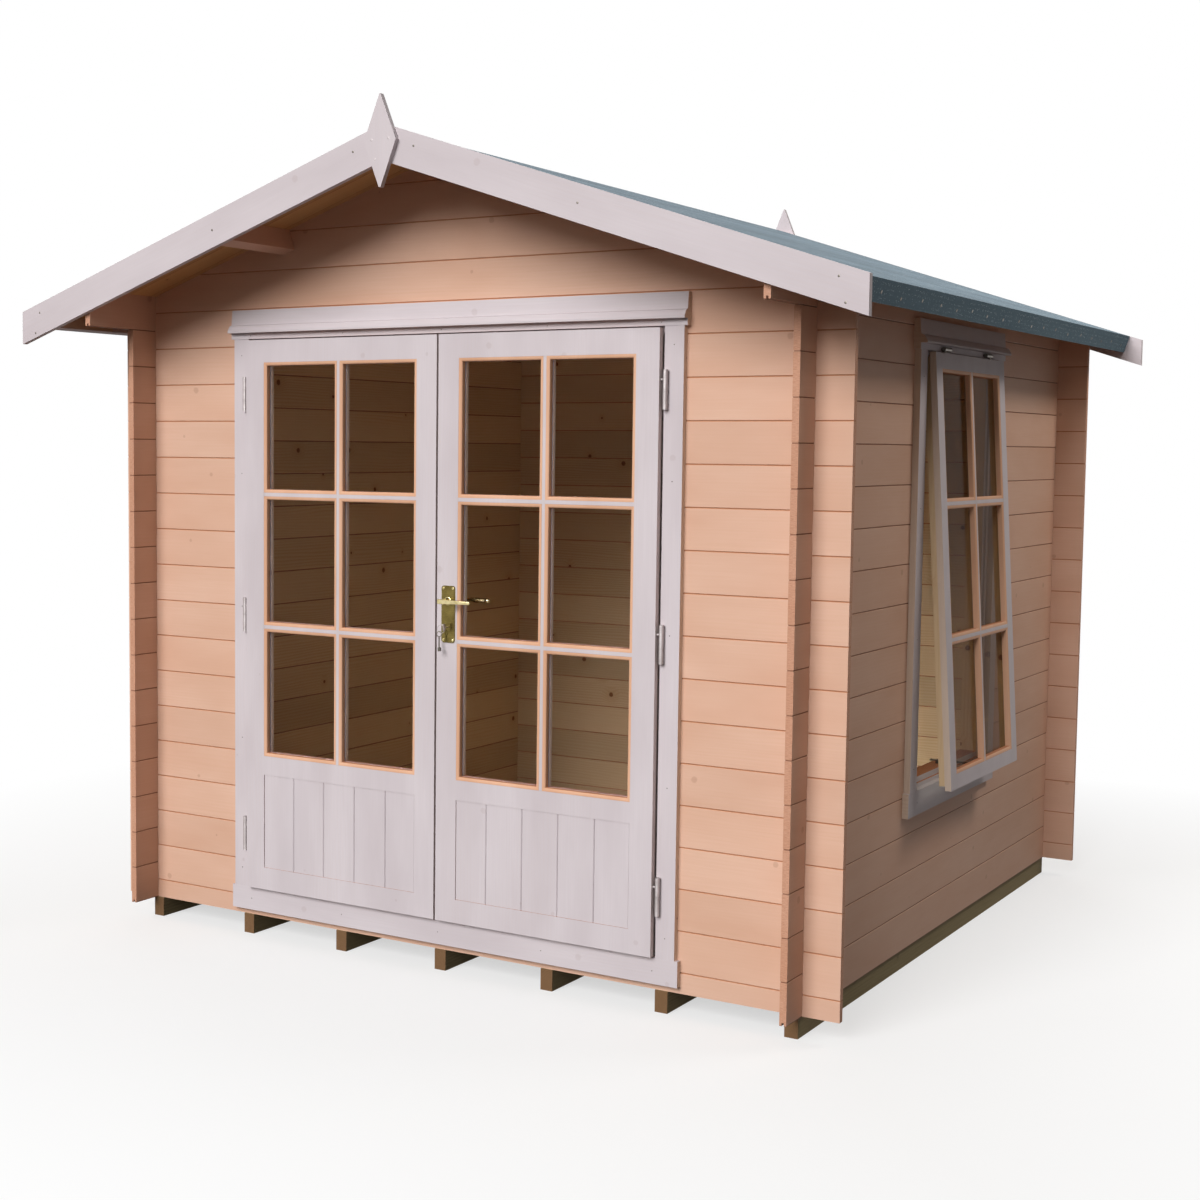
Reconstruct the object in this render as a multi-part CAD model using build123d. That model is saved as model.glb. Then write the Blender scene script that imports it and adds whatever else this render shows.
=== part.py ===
from build123d import *
import os
from math import cos, radians, sin, tan

os.makedirs("parts", exist_ok=True)

# Plan. X runs across the front, Y to the back, Z up, and the origin is on the ground
# at the middle of the square plan. Millimetres.
wall_half = 1127.0
log_thickness = 19.0
log_height = 114.0
log_overhang = 103.0
side_courses = 17
wall_courses = 15
courses_under_window = 4
joint_vee = 2.5
notch_play = 0.3

# Bearers and floor
bearer_width = 38.0
bearer_height = 61.0
bearer_proud = 5.0
bearer_pitch = 361.0
outer_bearer = 1100.0
floor_thickness = 19.0
floor_play = 1.0

# Roof. The eaves height is that of the boards' underside over the walls' outer faces.
roof_pitch = 18.4
eaves_underside = 1987.1
roof_board = 18.0
felt_thickness = 3.0
front_overhang = 308.0
rear_overhang = 136.5
slope_length = 1400.0
eaves_board_thickness = 18.0
eaves_board_depth = 57.0
bargeboard_half = 1379.0
bargeboard_thickness = 18.0
bargeboard_proud = 9.0
bargeboard_plumb = 99.0
apex_joint = 0.15
purlin_width = 44.0
purlin_depth = 63.0
purlin_offset = 588.0
finial_width = 105.0
finial_height = 248.0
finial_drop = 47.0
finial_thickness = 15.0
finial_low_tip = 6.0
finial_high_tip = 3.0
log_groove_width = 6.5
log_groove_depth = 8.0
tongue_play = 0.25

# Door opening, seen from the front
leaf_half = 704.0
leaf_gap = 5.0
meeting_gap = 6.5
leaf_bottom = 157.0
leaf_top = 1845.0
leaf_thickness = 40.0
leaf_proud = 38.0
leaf_face = 19.0
leaf_inset = 12.0
stile_width = 69.0
top_rail = 68.0
middle_rail_top = 574.0
middle_rail_bottom = 515.0
bottom_rail = 69.0
glass_thickness = 4.0
glass_groove = 8.0
glass_setback = 18.0
panel_thickness = 12.0
panel_tongue = 6.0
panel_groove = 10.0
panel_setback = 1.5
seat_play = 0.3

# Window opening in the right-hand wall
sash_half = 327.5
sash_bottom = 536.0
sash_top = 1812.0
sash_stile = 52.0
sash_top_rail = 47.0
sash_bottom_rail = 44.0
sash_open_deg = 3.64
sash_hinge_offset = 200.0

# Linings and trims
frame_depth = 60.0
frame_core = 29.0
stop_lap = 12.0
stop_clear = 5.0
inner_flange = 19.0
trim_thickness = 19.0
architrave_width = 57.0
window_reveal = 6.0
sill_trim_height = 72.0
trim_horn = 10.0
crown_strip = 21.0
crown_strip_height = 18.0
crown_lip = 40.0
crown_lip_height = 5.0
crown_shoulder = 31.0
crown_shoulder_height = 39.0
crown_board_base = 43.0
crown_board_top = 17.0
crown_height = 88.0

# Drill-in barrel hinges
barrel_radius = 7.0
barrel_length = 105.0
barrel_gap = 0.6
hinge_side_gap = 13.0
hinge_back = 28.0
rod_radius = 3.5
rod_play = 0.2
rod_bite = 22.0
rod_sides = 8
pin_radius = 3.4
bore_radius = 4.0
pin_length = 32.0
hinge_heights = (323.0, 1006.0, 1682.0)
window_barrel_length = 60.0
window_barrel_lift = 12.0

# Lever set on the right-hand leaf
lever_height = 1088.0
lever_backset = 40.0
plate_width = 45.0
plate_below = 119.0
plate_above = 44.0
plate_thickness = 3.0
plate_corner = 8.0
neck_radius = 8.0
neck_play = 0.3
neck_bury = 4.0
grip_reach = 93.0
grip_tail = 17.0
grip_root = 16.0
grip_tip = 11.0
grip_thickness = 12.0
grip_chamfer = 2.5
grip_stand = 26.0

# Derived heights and planes
roof_slope = tan(radians(roof_pitch))
roof_cos = cos(radians(roof_pitch))
roof_sin = sin(radians(roof_pitch))
ridge_underside = eaves_underside + wall_half * roof_slope
front_face = -wall_half
wall_inner = wall_half - log_thickness
log_end = wall_half + log_overhang
half_log = log_height / 2
quarter_log = log_height / 4
sill_log_top = bearer_height + half_log
eaves_log_base = bearer_height + (side_courses - 1) * log_height
gable_base = sill_log_top + wall_courses * log_height
board_rise = roof_board / roof_cos
felt_rise = felt_thickness / roof_cos
felt_ridge = ridge_underside + board_rise + felt_rise
bargeboard_top = felt_ridge + bargeboard_proud
finial_centre = bargeboard_top - finial_drop
barge_back = wall_half + front_overhang - bargeboard_thickness
rear_barge_front = wall_half + rear_overhang - bargeboard_thickness
leaf_front = front_face - leaf_proud
leaf_back = leaf_front + leaf_thickness
leaf_middle = (leaf_front + leaf_back) / 2
glass_middle = leaf_front + glass_setback + glass_thickness / 2
panel_front = leaf_front + panel_setback
panel_middle = panel_front + panel_thickness / 2
glazed = (middle_rail_top, leaf_top - top_rail, glass_middle, glass_thickness, glass_groove)
boarded = (leaf_bottom + bottom_rail, middle_rail_bottom, panel_middle, panel_tongue, panel_groove)
stop_face = leaf_back + stop_clear
window_log_base = bearer_height + courses_under_window * log_height
window_log_top = bearer_height + wall_courses * log_height
architrave_out = leaf_half + leaf_gap + architrave_width
window_trim_half = sash_half + leaf_gap + window_reveal
window_architrave_out = window_trim_half + architrave_width
hinge_x = leaf_half + hinge_side_gap
hinge_y = front_face - hinge_back
right_leaf_edge = meeting_gap / 2
left_leaf_edge = -right_leaf_edge
lever_x = right_leaf_edge + lever_backset


def block(x0, x1, y0, y1, z0, z1):
    """Box between two opposite corners."""
    middle = Pos((x0 + x1) / 2, (y0 + y1) / 2, (z0 + z1) / 2)
    return middle * Box(x1 - x0, y1 - y0, z1 - z0)


def along(bar, x, y, z, length, axis):
    """Moves a bar that stands on the origin so that it starts at a point and runs along an axis."""
    turn = {"x": Rot(0, 90, 0), "y": Rot(-90, 0, 0), "z": Rot(0, 0, 0)}[axis]
    return Pos(x, y, z) * turn * Pos(0, 0, min(length, 0)) * bar


def rod(x, y, z, radius, length, axis):
    """Round bar from a point, backwards where its length is negative."""
    bar = Cylinder(radius, abs(length), align=(Align.CENTER, Align.CENTER, Align.MIN))
    return along(bar, x, y, z, length, axis)


def stud(x, y, z, radius, length, axis):
    """Eight-sided bar from a point, for what is buried in wood or in a hinge barrel."""
    bar = extrude(RegularPolygon(radius, rod_sides), amount=abs(length))
    return along(bar, x, y, z, length, axis)


def prism_x(points, x0, x1):
    """Outline given as (y, z) points, extruded along X."""
    corners = [(x0, y, z) for y, z in points]
    return extrude(make_face(Polyline(*corners, close=True)), amount=x1 - x0, dir=(1, 0, 0))


def prism_y(points, y0, y1):
    """Outline given as (x, z) points, extruded along Y."""
    corners = [(x, y0, z) for x, z in points]
    return extrude(make_face(Polyline(*corners, close=True)), amount=y1 - y0, dir=(0, 1, 0))


def mirror_x(shape):
    """The same piece on the other side of the middle."""
    return mirror(shape, about=Plane.YZ)


def roof_line(x):
    """Height of the underside of the roof boards."""
    return ridge_underside - abs(x) * roof_slope


def on_slope(run, lift):
    """Point (x, z) a run down the right-hand slope from the ridge and a lift off its underside."""
    return (run * roof_cos + lift * roof_sin, ridge_underside - run * roof_sin + lift * roof_cos)


def log_run(x0, x1, low, high, first_joint, low_vee=True):
    """Courses of a wall that faces -Y, with a V along each joint on both faces."""
    outer = []
    if low_vee:
        outer += [(joint_vee, low), (0, low + joint_vee)]
    else:
        outer += [(0, low)]
    z = first_joint
    while z < high - 1:
        if z > low + 1:
            outer += [(0, z - joint_vee), (joint_vee, z), (0, z + joint_vee)]
        z += log_height
    outer += [(0, high - joint_vee), (joint_vee, high)]
    inner = [(log_thickness - depth, height) for depth, height in reversed(outer)]
    outline = [(front_face + depth, height) for depth, height in outer + inner]
    return prism_x(outline, x0, x1)


def crossings(offset, x_signs=(-1, 1)):
    """Notch bands of every course where a wall that faces -Y meets its neighbours."""
    bands = []
    for sign in x_signs:
        near, far = sorted((sign * (wall_inner - notch_play), sign * (wall_half + notch_play)))
        for course in range(side_courses + 1):
            middle = bearer_height + course * log_height + offset
            bands.append(
                block(near, far, front_face - 1, front_face + log_thickness + 1,
                      middle - quarter_log, middle + quarter_log)
            )
    return Compound(children=bands)


def under_roof(low):
    """Space under the roof boards, from a height up."""
    reach = log_end + 10
    points = [(-reach, low - 1), (reach, low - 1), (reach, roof_line(reach)),
              (0, ridge_underside), (-reach, roof_line(reach))]
    return prism_y(points, front_face - 1, front_face + log_thickness + 1)


def purlin(play=0.0):
    """Right-hand purlin, square to the slope, its top face against the roof boards."""
    y0 = -barge_back - play
    y1 = rear_barge_front + play
    width = purlin_width + 2 * play
    depth = purlin_depth + play
    beam = Pos(0, (y0 + y1) / 2, -depth / 2) * Box(width, y1 - y0, depth)
    return Pos(purlin_offset, 0, roof_line(purlin_offset)) * Rot(0, roof_pitch, 0) * beam


def lining(half, low, high, seat):
    """Rebated frame round an opening in a wall that faces -Y, clasping the log ends inside."""
    out = half + leaf_gap + frame_core
    top = high + leaf_gap + frame_core
    back = front_face + frame_depth
    flange_front = front_face + log_thickness + notch_play
    ring = block(-out, out, front_face, back, seat, top)
    ring += block(-out - inner_flange, out + inner_flange, flange_front,
                  flange_front + inner_flange, seat, top + inner_flange)
    way = leaf_inset - leaf_gap
    ring -= block(-half + way, half - way, front_face - 1, stop_face, low + way, high - way)
    way = leaf_inset + stop_lap
    ring -= block(-half + way, half - way, front_face - 1, back + 1, low + way, high - way)
    return ring


def crown(half, base):
    """Head moulding: a flat strip, a drip lip over it and a board that tapers upwards."""
    lip_top = crown_strip_height + crown_lip_height
    profile = [(0, 0), (-crown_strip, 0), (-crown_strip, crown_strip_height),
               (-crown_lip, crown_strip_height), (-crown_lip, lip_top),
               (-crown_shoulder, crown_shoulder_height), (-crown_strip, crown_board_base),
               (-crown_board_top, crown_height), (0, crown_height)]
    return prism_x([(front_face + y, base + z) for y, z in profile], -half, half)


def architrave(inner, low, high):
    """Right-hand face board beside an opening."""
    return block(inner, inner + architrave_width, front_face - trim_thickness, front_face, low, high)


def leaf(x0, x1, low, high, stile, holes, left_inset=leaf_inset, right_inset=leaf_inset):
    """Rebated leaf with grooved openings, given as (low, high, groove middle, tongue, groove)."""
    frame = block(x0, x1, leaf_front, leaf_front + leaf_face, low, high)
    frame += block(x0 + left_inset, x1 - right_inset, leaf_front + leaf_face, leaf_back,
                   low + leaf_inset, high - leaf_inset)
    for hole_low, hole_high, middle, tongue, groove in holes:
        left = x0 + stile
        right = x1 - stile
        half = tongue / 2 + seat_play
        frame -= block(left, right, leaf_front - 1, leaf_back + 1, hole_low, hole_high)
        frame -= block(left - groove, right + groove, middle - half, middle + half,
                       hole_low - groove, hole_high + groove)
    return frame


def infill(x0, x1, stile, hole):
    """Sheet held in the groove of a leaf opening."""
    low, high, middle, tongue, groove = hole
    reach = groove - seat_play
    left = x0 + stile - reach
    right = x1 - stile + reach
    return block(left, right, middle - tongue / 2, middle + tongue / 2, low - reach, high + reach)


def panel(x0, x1):
    """Boarded lower panel, just behind the face of the leaf, with a tongue all round."""
    boards = block(x0 + stile_width + seat_play, x1 - stile_width - seat_play,
                   panel_front, panel_front + panel_thickness,
                   boarded[0] + seat_play, boarded[1] - seat_play)
    return boards + infill(x0, x1, stile_width, boarded)


# Floor
bearers = []
for x in [-outer_bearer] + [n * bearer_pitch for n in range(-2, 3)] + [outer_bearer]:
    bearers.append(block(x - bearer_width / 2, x + bearer_width / 2, -wall_half - bearer_proud,
                         wall_half + bearer_proud, 0, bearer_height))
export_step(Compound(children=bearers), "parts/floor_bearers.step")
floor_half = wall_inner - floor_play
floor_boards = block(-floor_half, floor_half, -floor_half, floor_half, bearer_height,
                     bearer_height + floor_thickness)
export_step(floor_boards, "parts/floor_boards.step")

# Walls
side_bands = crossings(half_log)
end_bands = crossings(0.0)
first_end_joint = sill_log_top
first_side_joint = bearer_height + log_height

sill_log = log_run(-log_end, log_end, bearer_height, sill_log_top, first_end_joint, False)
export_step(sill_log - side_bands, "parts/front_sill_log.step")

door_log_end = leaf_half + leaf_gap + frame_core + notch_play
front_left = log_run(-log_end, -door_log_end, sill_log_top, gable_base, first_end_joint)
front_left -= crossings(half_log, (-1,))
export_step(front_left, "parts/front_wall_left.step")
export_step(mirror_x(front_left), "parts/front_wall_right.step")

purlin_slot = purlin(notch_play)
purlin_slots = purlin_slot + mirror_x(purlin_slot)
head_top = leaf_top + leaf_gap + frame_core + notch_play
gable = log_run(-log_end, log_end, gable_base, ridge_underside + 5, first_end_joint)
gable = gable & under_roof(gable_base)
gable -= side_bands
gable -= block(-door_log_end, door_log_end, front_face - 1, front_face + log_thickness + 1,
               gable_base - 1, head_top)
gable -= purlin_slots
export_step(gable, "parts/front_gable.step")

rear = log_run(-log_end, log_end, bearer_height, ridge_underside + 5, first_end_joint, False)
rear = rear & under_roof(bearer_height)
rear = Rot(0, 0, 180) * (rear - side_bands)
rear -= purlin_slots
export_step(rear, "parts/rear_wall.step")

tongue_half = log_groove_width / 2 - tongue_play
wall_middle = front_face + log_thickness / 2
tongue = block(-log_end, log_end, wall_middle - tongue_half, wall_middle + tongue_half,
               eaves_log_base - 1, eaves_log_base + log_groove_depth - tongue_play)
groove_half = log_groove_width / 2
base_groove = block(-log_end - 1, log_end + 1, wall_middle - groove_half, wall_middle + groove_half,
                    bearer_height - 1, bearer_height + log_groove_depth)
plain_side = log_run(-log_end, log_end, bearer_height, eaves_log_base, first_side_joint, False)
plain_side += tongue
plain_side -= base_groove
export_step(Rot(0, 0, -90) * (plain_side - end_bands), "parts/left_wall.step")

window_log_end = sash_half + leaf_gap + frame_core + notch_play
window_head = sash_top + leaf_gap + frame_core + notch_play
to_right_wall = Rot(0, 0, 90)
lower = log_run(-log_end, log_end, bearer_height, window_log_base, first_side_joint, False)
lower -= base_groove
export_step(to_right_wall * (lower - end_bands), "parts/right_wall_lower.step")
beside = log_run(-log_end, -window_log_end, window_log_base, window_log_top, first_side_joint)
beside -= crossings(0.0, (-1,))
export_step(to_right_wall * beside, "parts/right_wall_front.step")
export_step(to_right_wall * mirror_x(beside), "parts/right_wall_rear.step")
upper = log_run(-log_end, log_end, window_log_top, eaves_log_base, first_side_joint)
upper += tongue
upper -= end_bands
upper -= block(-window_log_end, window_log_end, front_face - 1, front_face + log_thickness + 1,
               window_log_top - 1, window_head)
export_step(to_right_wall * upper, "parts/right_wall_upper.step")

# Eaves logs reach from bargeboard to bargeboard and are bevelled to the roof
eaves_log = log_run(-barge_back, rear_barge_front, eaves_log_base, eaves_log_base + log_height,
                    first_side_joint)
eaves_log -= block(-barge_back - 1, rear_barge_front + 1,
                   wall_middle - groove_half, wall_middle + groove_half,
                   eaves_log_base - 1, eaves_log_base + log_groove_depth)
eaves_log -= end_bands
eaves_log = to_right_wall * eaves_log
above_roof = [(wall_inner - 10, roof_line(wall_inner - 10)), (wall_half + 10, roof_line(wall_half + 10)),
              (wall_half + 10, eaves_log_base + 2 * log_height),
              (wall_inner - 10, eaves_log_base + 2 * log_height)]
eaves_log -= prism_y(above_roof, -barge_back - 1, rear_barge_front + 1)
export_step(Compound(children=[eaves_log, mirror_x(eaves_log)]), "parts/eaves_logs.step")

# Roof
export_step(Compound(children=[purlin(), mirror_x(purlin())]), "parts/purlins.step")

board_run = slope_length - eaves_board_thickness
felt_run = slope_length + felt_thickness
felt_lift = roof_board + felt_thickness
board_ridge = ridge_underside + board_rise
edge_low = roof_board - eaves_board_depth

right_slope = prism_y([(0, ridge_underside), on_slope(board_run, 0), on_slope(board_run, roof_board),
                       (0, board_ridge)], -barge_back, rear_barge_front)
export_step(right_slope, "parts/roof_boards_right.step")
export_step(mirror_x(right_slope), "parts/roof_boards_left.step")

eaves_board = prism_y([on_slope(board_run, edge_low), on_slope(slope_length, edge_low),
                       on_slope(slope_length, roof_board), on_slope(board_run, roof_board)],
                      -barge_back, rear_barge_front)
export_step(Compound(children=[eaves_board, mirror_x(eaves_board)]), "parts/eaves_boards.step")

half_felt = prism_y([(0, board_ridge), on_slope(slope_length, roof_board),
                     on_slope(slope_length, edge_low), on_slope(felt_run, edge_low),
                     on_slope(felt_run, felt_lift), (0, felt_ridge)],
                    -barge_back, rear_barge_front)
export_step(half_felt + mirror_x(half_felt), "parts/roof_felt.step")


def bargeboards(y0, top):
    """Pair of bargeboards that meet in a plumb joint at the apex."""
    bottom = bargeboard_top - bargeboard_plumb
    near_drop = apex_joint * roof_slope
    far_drop = bargeboard_half * roof_slope
    outline = [(apex_joint, top - near_drop), (bargeboard_half, top - far_drop),
               (bargeboard_half, bottom - far_drop), (apex_joint, bottom - near_drop)]
    board = prism_y(outline, y0, y0 + bargeboard_thickness)
    return Compound(children=[board, mirror_x(board)])


def finial(y0):
    """Diamond board with blunted tips over the apex joint."""
    low = finial_centre - finial_height / 2
    high = finial_centre + finial_height / 2
    outline = [(-finial_low_tip / 2, low), (finial_low_tip / 2, low),
               (finial_width / 2, finial_centre), (finial_high_tip / 2, high),
               (-finial_high_tip / 2, high), (-finial_width / 2, finial_centre)]
    return prism_y(outline, y0, y0 + finial_thickness)


front_pair = bargeboards(-wall_half - front_overhang, bargeboard_top)
export_step(front_pair, "parts/front_bargeboards.step")
export_step(bargeboards(rear_barge_front, felt_ridge), "parts/rear_bargeboards.step")
front_finial = finial(-wall_half - front_overhang - finial_thickness)
rear_finial = finial(wall_half + rear_overhang)
export_step(Compound(children=[front_finial, rear_finial]), "parts/finials.step")

# Hinge rods, and the holes they sit in
frame_holes = []
leaf_holes = []
frame_halves = []
leaf_halves = []
half_barrel = (barrel_length - barrel_gap) / 2
for height in hinge_heights:
    low_z = height - barrel_length / 2
    high_z = height + barrel_gap / 2
    rod_z = low_z + half_barrel / 2
    reach = hinge_back + trim_thickness
    lower_half = rod(hinge_x, hinge_y, low_z, barrel_radius, half_barrel, "z")
    lower_half += stud(hinge_x, hinge_y, rod_z, rod_radius, reach, "y")
    lower_half += stud(hinge_x, hinge_y, low_z, pin_radius, half_barrel + pin_length, "z")
    frame_halves.append(lower_half)
    frame_holes.append(stud(hinge_x, hinge_y, rod_z, rod_radius + rod_play, reach + seat_play, "y"))
    leaf_rod_z = high_z + half_barrel / 2
    leaf_reach = hinge_side_gap + rod_bite
    upper_half = rod(hinge_x, hinge_y, high_z, barrel_radius, half_barrel, "z")
    upper_half += stud(hinge_x, hinge_y, leaf_rod_z, rod_radius, -leaf_reach, "x")
    upper_half -= stud(hinge_x, hinge_y, high_z - 1, bore_radius, pin_length + 2, "z")
    leaf_halves.append(upper_half)
    leaf_holes.append(stud(hinge_x, hinge_y, leaf_rod_z, rod_radius + rod_play,
                           -leaf_reach - seat_play, "x"))
frame_hole_set = Compound(children=frame_holes)
leaf_hole_set = Compound(children=leaf_holes)
export_step(Compound(children=frame_halves + [mirror_x(half) for half in frame_halves]),
            "parts/door_frame_hinges.step")
export_step(Compound(children=leaf_halves), "parts/right_leaf_hinges.step")
export_step(Compound(children=[mirror_x(half) for half in leaf_halves]),
            "parts/left_leaf_hinges.step")

# Door frame and trims
door_frame = lining(leaf_half, leaf_bottom, leaf_top, sill_log_top)
door_frame -= frame_hole_set
door_frame -= mirror_x(frame_hole_set)
export_step(door_frame, "parts/door_frame.step")

window_low = sash_bottom - leaf_gap
window_high = sash_top + leaf_gap
window_barrel_back = crown_strip + barrel_radius + seat_play
window_pivot_y = front_face - window_barrel_back
window_pivot_z = sash_top + window_barrel_lift
window_rod_holes = []
window_hinge_parts = []
sash_turn = Pos(0, window_pivot_y, window_pivot_z) * Rot(-sash_open_deg, 0, 0) * Pos(
    0, -window_pivot_y, -window_pivot_z)
sash_holes = []
for side in (-1, 1):
    x = side * sash_hinge_offset
    fixed_x = x - side * window_barrel_length / 4
    moving_x = x + side * window_barrel_length / 4
    barrel = rod(x - window_barrel_length / 2, window_pivot_y, window_pivot_z, barrel_radius,
                 window_barrel_length, "x")
    reach = window_barrel_back + trim_thickness
    barrel += stud(fixed_x, window_pivot_y, window_pivot_z, rod_radius, reach, "y")
    drop = window_barrel_lift + rod_bite
    barrel += sash_turn * stud(moving_x, window_pivot_y, window_pivot_z, rod_radius, -drop, "z")
    window_hinge_parts.append(to_right_wall * barrel)
    window_rod_holes.append(stud(fixed_x, window_pivot_y, window_pivot_z, rod_radius + rod_play,
                                 reach + seat_play, "y"))
    sash_holes.append(stud(moving_x, window_pivot_y, window_pivot_z, rod_radius + rod_play,
                           -drop - seat_play, "z"))
window_hole_set = Compound(children=window_rod_holes)
sash_hole_set = Compound(children=sash_holes)
window_frame = lining(sash_half, sash_bottom, sash_top, window_log_base) - window_hole_set
export_step(to_right_wall * window_frame, "parts/window_frame.step")
export_step(Compound(children=window_hinge_parts), "parts/window_hinges.step")

door_architrave = architrave(leaf_half + leaf_gap, leaf_bottom - leaf_gap, leaf_top + leaf_gap)
door_architrave -= frame_hole_set
window_architrave = architrave(window_trim_half, window_low, window_high)
trims = [door_architrave, mirror_x(door_architrave), to_right_wall * window_architrave,
         to_right_wall * mirror_x(window_architrave)]
export_step(Compound(children=trims), "parts/architraves.step")

door_crown = crown(architrave_out + trim_horn, leaf_top + leaf_gap)
window_crown = crown(window_architrave_out + trim_horn, window_high) - window_hole_set
export_step(Compound(children=[door_crown, to_right_wall * window_crown]),
            "parts/head_crowns.step")


def sill_trim(half, top):
    """Horned board under an opening."""
    return block(-half, half, front_face - trim_thickness, front_face, top - sill_trim_height, top)


door_sill = sill_trim(architrave_out + trim_horn, leaf_bottom - leaf_gap)
window_sill = to_right_wall * sill_trim(window_architrave_out + trim_horn, window_low)
export_step(Compound(children=[door_sill, window_sill]), "parts/sill_trims.step")

# Door leaves
left_frame = leaf(-leaf_half, left_leaf_edge, leaf_bottom, leaf_top, stile_width,
                  (glazed, boarded), right_inset=0)
left_frame -= mirror_x(leaf_hole_set)
export_step(left_frame, "parts/left_leaf_frame.step")
export_step(infill(-leaf_half, left_leaf_edge, stile_width, glazed),
            "parts/left_leaf_glass.step")
export_step(panel(-leaf_half, left_leaf_edge), "parts/left_leaf_panel.step")

right_frame = leaf(right_leaf_edge, leaf_half, leaf_bottom, leaf_top, stile_width,
                   (glazed, boarded), left_inset=0)
right_frame -= leaf_hole_set
right_frame -= rod(lever_x, leaf_front - 1, lever_height, neck_radius + neck_play,
                   leaf_thickness + 2, "y")
export_step(right_frame, "parts/right_leaf_frame.step")
export_step(infill(right_leaf_edge, leaf_half, stile_width, glazed),
            "parts/right_leaf_glass.step")
export_step(panel(right_leaf_edge, leaf_half), "parts/right_leaf_panel.step")

# Lever set
plate = block(lever_x - plate_width / 2, lever_x + plate_width / 2, leaf_front - plate_thickness,
              leaf_front, lever_height - plate_below, lever_height + plate_above)
plate = fillet(plate.edges().filter_by(Axis.Y), plate_corner)
plate -= rod(lever_x, leaf_front - plate_thickness - 1, lever_height, neck_radius + neck_play,
             plate_thickness + 2, "y")
inner_plate = Pos(0, leaf_thickness + plate_thickness, 0) * plate
export_step(Compound(children=[plate, inner_plate]), "parts/lock_plates.step")

grip_outline = [(lever_x - grip_tail, lever_height - grip_root / 2),
                (lever_x + grip_reach, lever_height - grip_tip / 2),
                (lever_x + grip_reach, lever_height + grip_tip / 2),
                (lever_x - grip_tail, lever_height + grip_root / 2)]
grip_front = leaf_front - grip_stand - grip_thickness
grip = prism_y(grip_outline, grip_front, grip_front + grip_thickness)
grip = chamfer(grip.edges(), grip_chamfer)
inner_grip = mirror(grip, about=Plane(origin=(0, leaf_middle, 0), z_dir=(0, 1, 0)))
neck = rod(lever_x, leaf_front - grip_stand - neck_bury, lever_height, neck_radius,
           leaf_thickness + 2 * (grip_stand + neck_bury), "y")
export_step(grip + inner_grip + neck, "parts/lever_handles.step")

# Window sash, propped open on its stay
sash_hole = (sash_bottom + sash_bottom_rail, sash_top - sash_top_rail, glass_middle,
             glass_thickness, glass_groove)
sash = leaf(-sash_half, sash_half, sash_bottom, sash_top, sash_stile, (sash_hole,))
sash -= sash_hole_set
export_step(to_right_wall * sash_turn * sash, "parts/window_sash.step")
pane = infill(-sash_half, sash_half, sash_stile, sash_hole)
export_step(to_right_wall * sash_turn * pane, "parts/window_glass.step")

stay_width = 14.0
stay_thickness = 4.0
stay_post = 8.0
stay_post_radius = 5.0
stay_depth = 34.0
stay_seat = sash_bottom + leaf_inset + stop_lap
stay_low = stay_seat + stay_post
open_reach = (window_pivot_z - stay_low - stay_thickness) * tan(radians(sash_open_deg))
stay_start = leaf_back - open_reach + seat_play
stay_end = front_face + frame_depth - stay_post_radius
stay = block(-stay_width / 2, stay_width / 2, stay_start, stay_end, stay_low,
             stay_low + stay_thickness)
stay += rod(0, front_face + stay_depth, stay_seat, stay_post_radius, stay_post, "z")
export_step(to_right_wall * stay, "parts/window_stay.step")
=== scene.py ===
"""Dresses a small timber log cabin: glazing bars, boards, fixings, finishes, camera and light.

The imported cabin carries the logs, roof, doors and window. This script adds the small
parts that are true to scale on it and gives every surface its finish.
"""
from __future__ import annotations

import logging
import math
from dataclasses import dataclass, field
from enum import Enum
from typing import Callable, Iterable, Sequence

import bpy
from mathutils import Matrix, Vector

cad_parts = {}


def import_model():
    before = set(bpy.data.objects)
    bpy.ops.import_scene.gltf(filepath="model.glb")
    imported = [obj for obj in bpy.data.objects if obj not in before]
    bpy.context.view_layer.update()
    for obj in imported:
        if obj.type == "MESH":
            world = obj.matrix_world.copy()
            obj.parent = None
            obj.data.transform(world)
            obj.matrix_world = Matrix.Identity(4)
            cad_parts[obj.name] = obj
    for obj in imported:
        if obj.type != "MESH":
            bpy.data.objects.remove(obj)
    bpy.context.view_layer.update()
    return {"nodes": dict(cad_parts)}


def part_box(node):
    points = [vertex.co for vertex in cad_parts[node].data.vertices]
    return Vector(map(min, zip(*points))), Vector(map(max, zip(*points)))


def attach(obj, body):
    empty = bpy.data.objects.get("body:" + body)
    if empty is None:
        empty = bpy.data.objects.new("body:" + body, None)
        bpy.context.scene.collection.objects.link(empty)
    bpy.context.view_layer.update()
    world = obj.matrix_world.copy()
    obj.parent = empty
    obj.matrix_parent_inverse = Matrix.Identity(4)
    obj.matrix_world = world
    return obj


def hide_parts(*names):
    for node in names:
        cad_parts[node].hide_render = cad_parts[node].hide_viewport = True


LOG = logging.getLogger("cabin")

# walls and trims, in metres: outer face from the middle, course, one joint's height
WALL = 1.127
LOG_HIGH = 0.114
SIDE_JOINTS = 0.061
FRONT_JOINTS = 0.118
TRIM_THICK = 0.019
CROWN_THICK = 0.021

# door leaves: their faces, their painted front layer, the sides and the height of their glass
LEAF_FRONT = -1.165
LEAF_BACK = -1.125
LEAF_MIDDLE = (LEAF_FRONT + LEAF_BACK) / 2
LEAF_LAYER = 0.0195
LEAF_NEAR = 0.07225
LEAF_FAR = 0.635
LEAF_LIGHT = (0.574, 1.777)
GLASS_THICK = 0.004

# window, drawn on the front wall and then turned to the right-hand one
WINDOW_HALF = 0.2755
WINDOW_LIGHT = (0.580, 1.765)
SASH_OPEN = math.radians(3.64)
SASH_PIVOT = Vector((0.0, -1.1553, 1.824))

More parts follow.
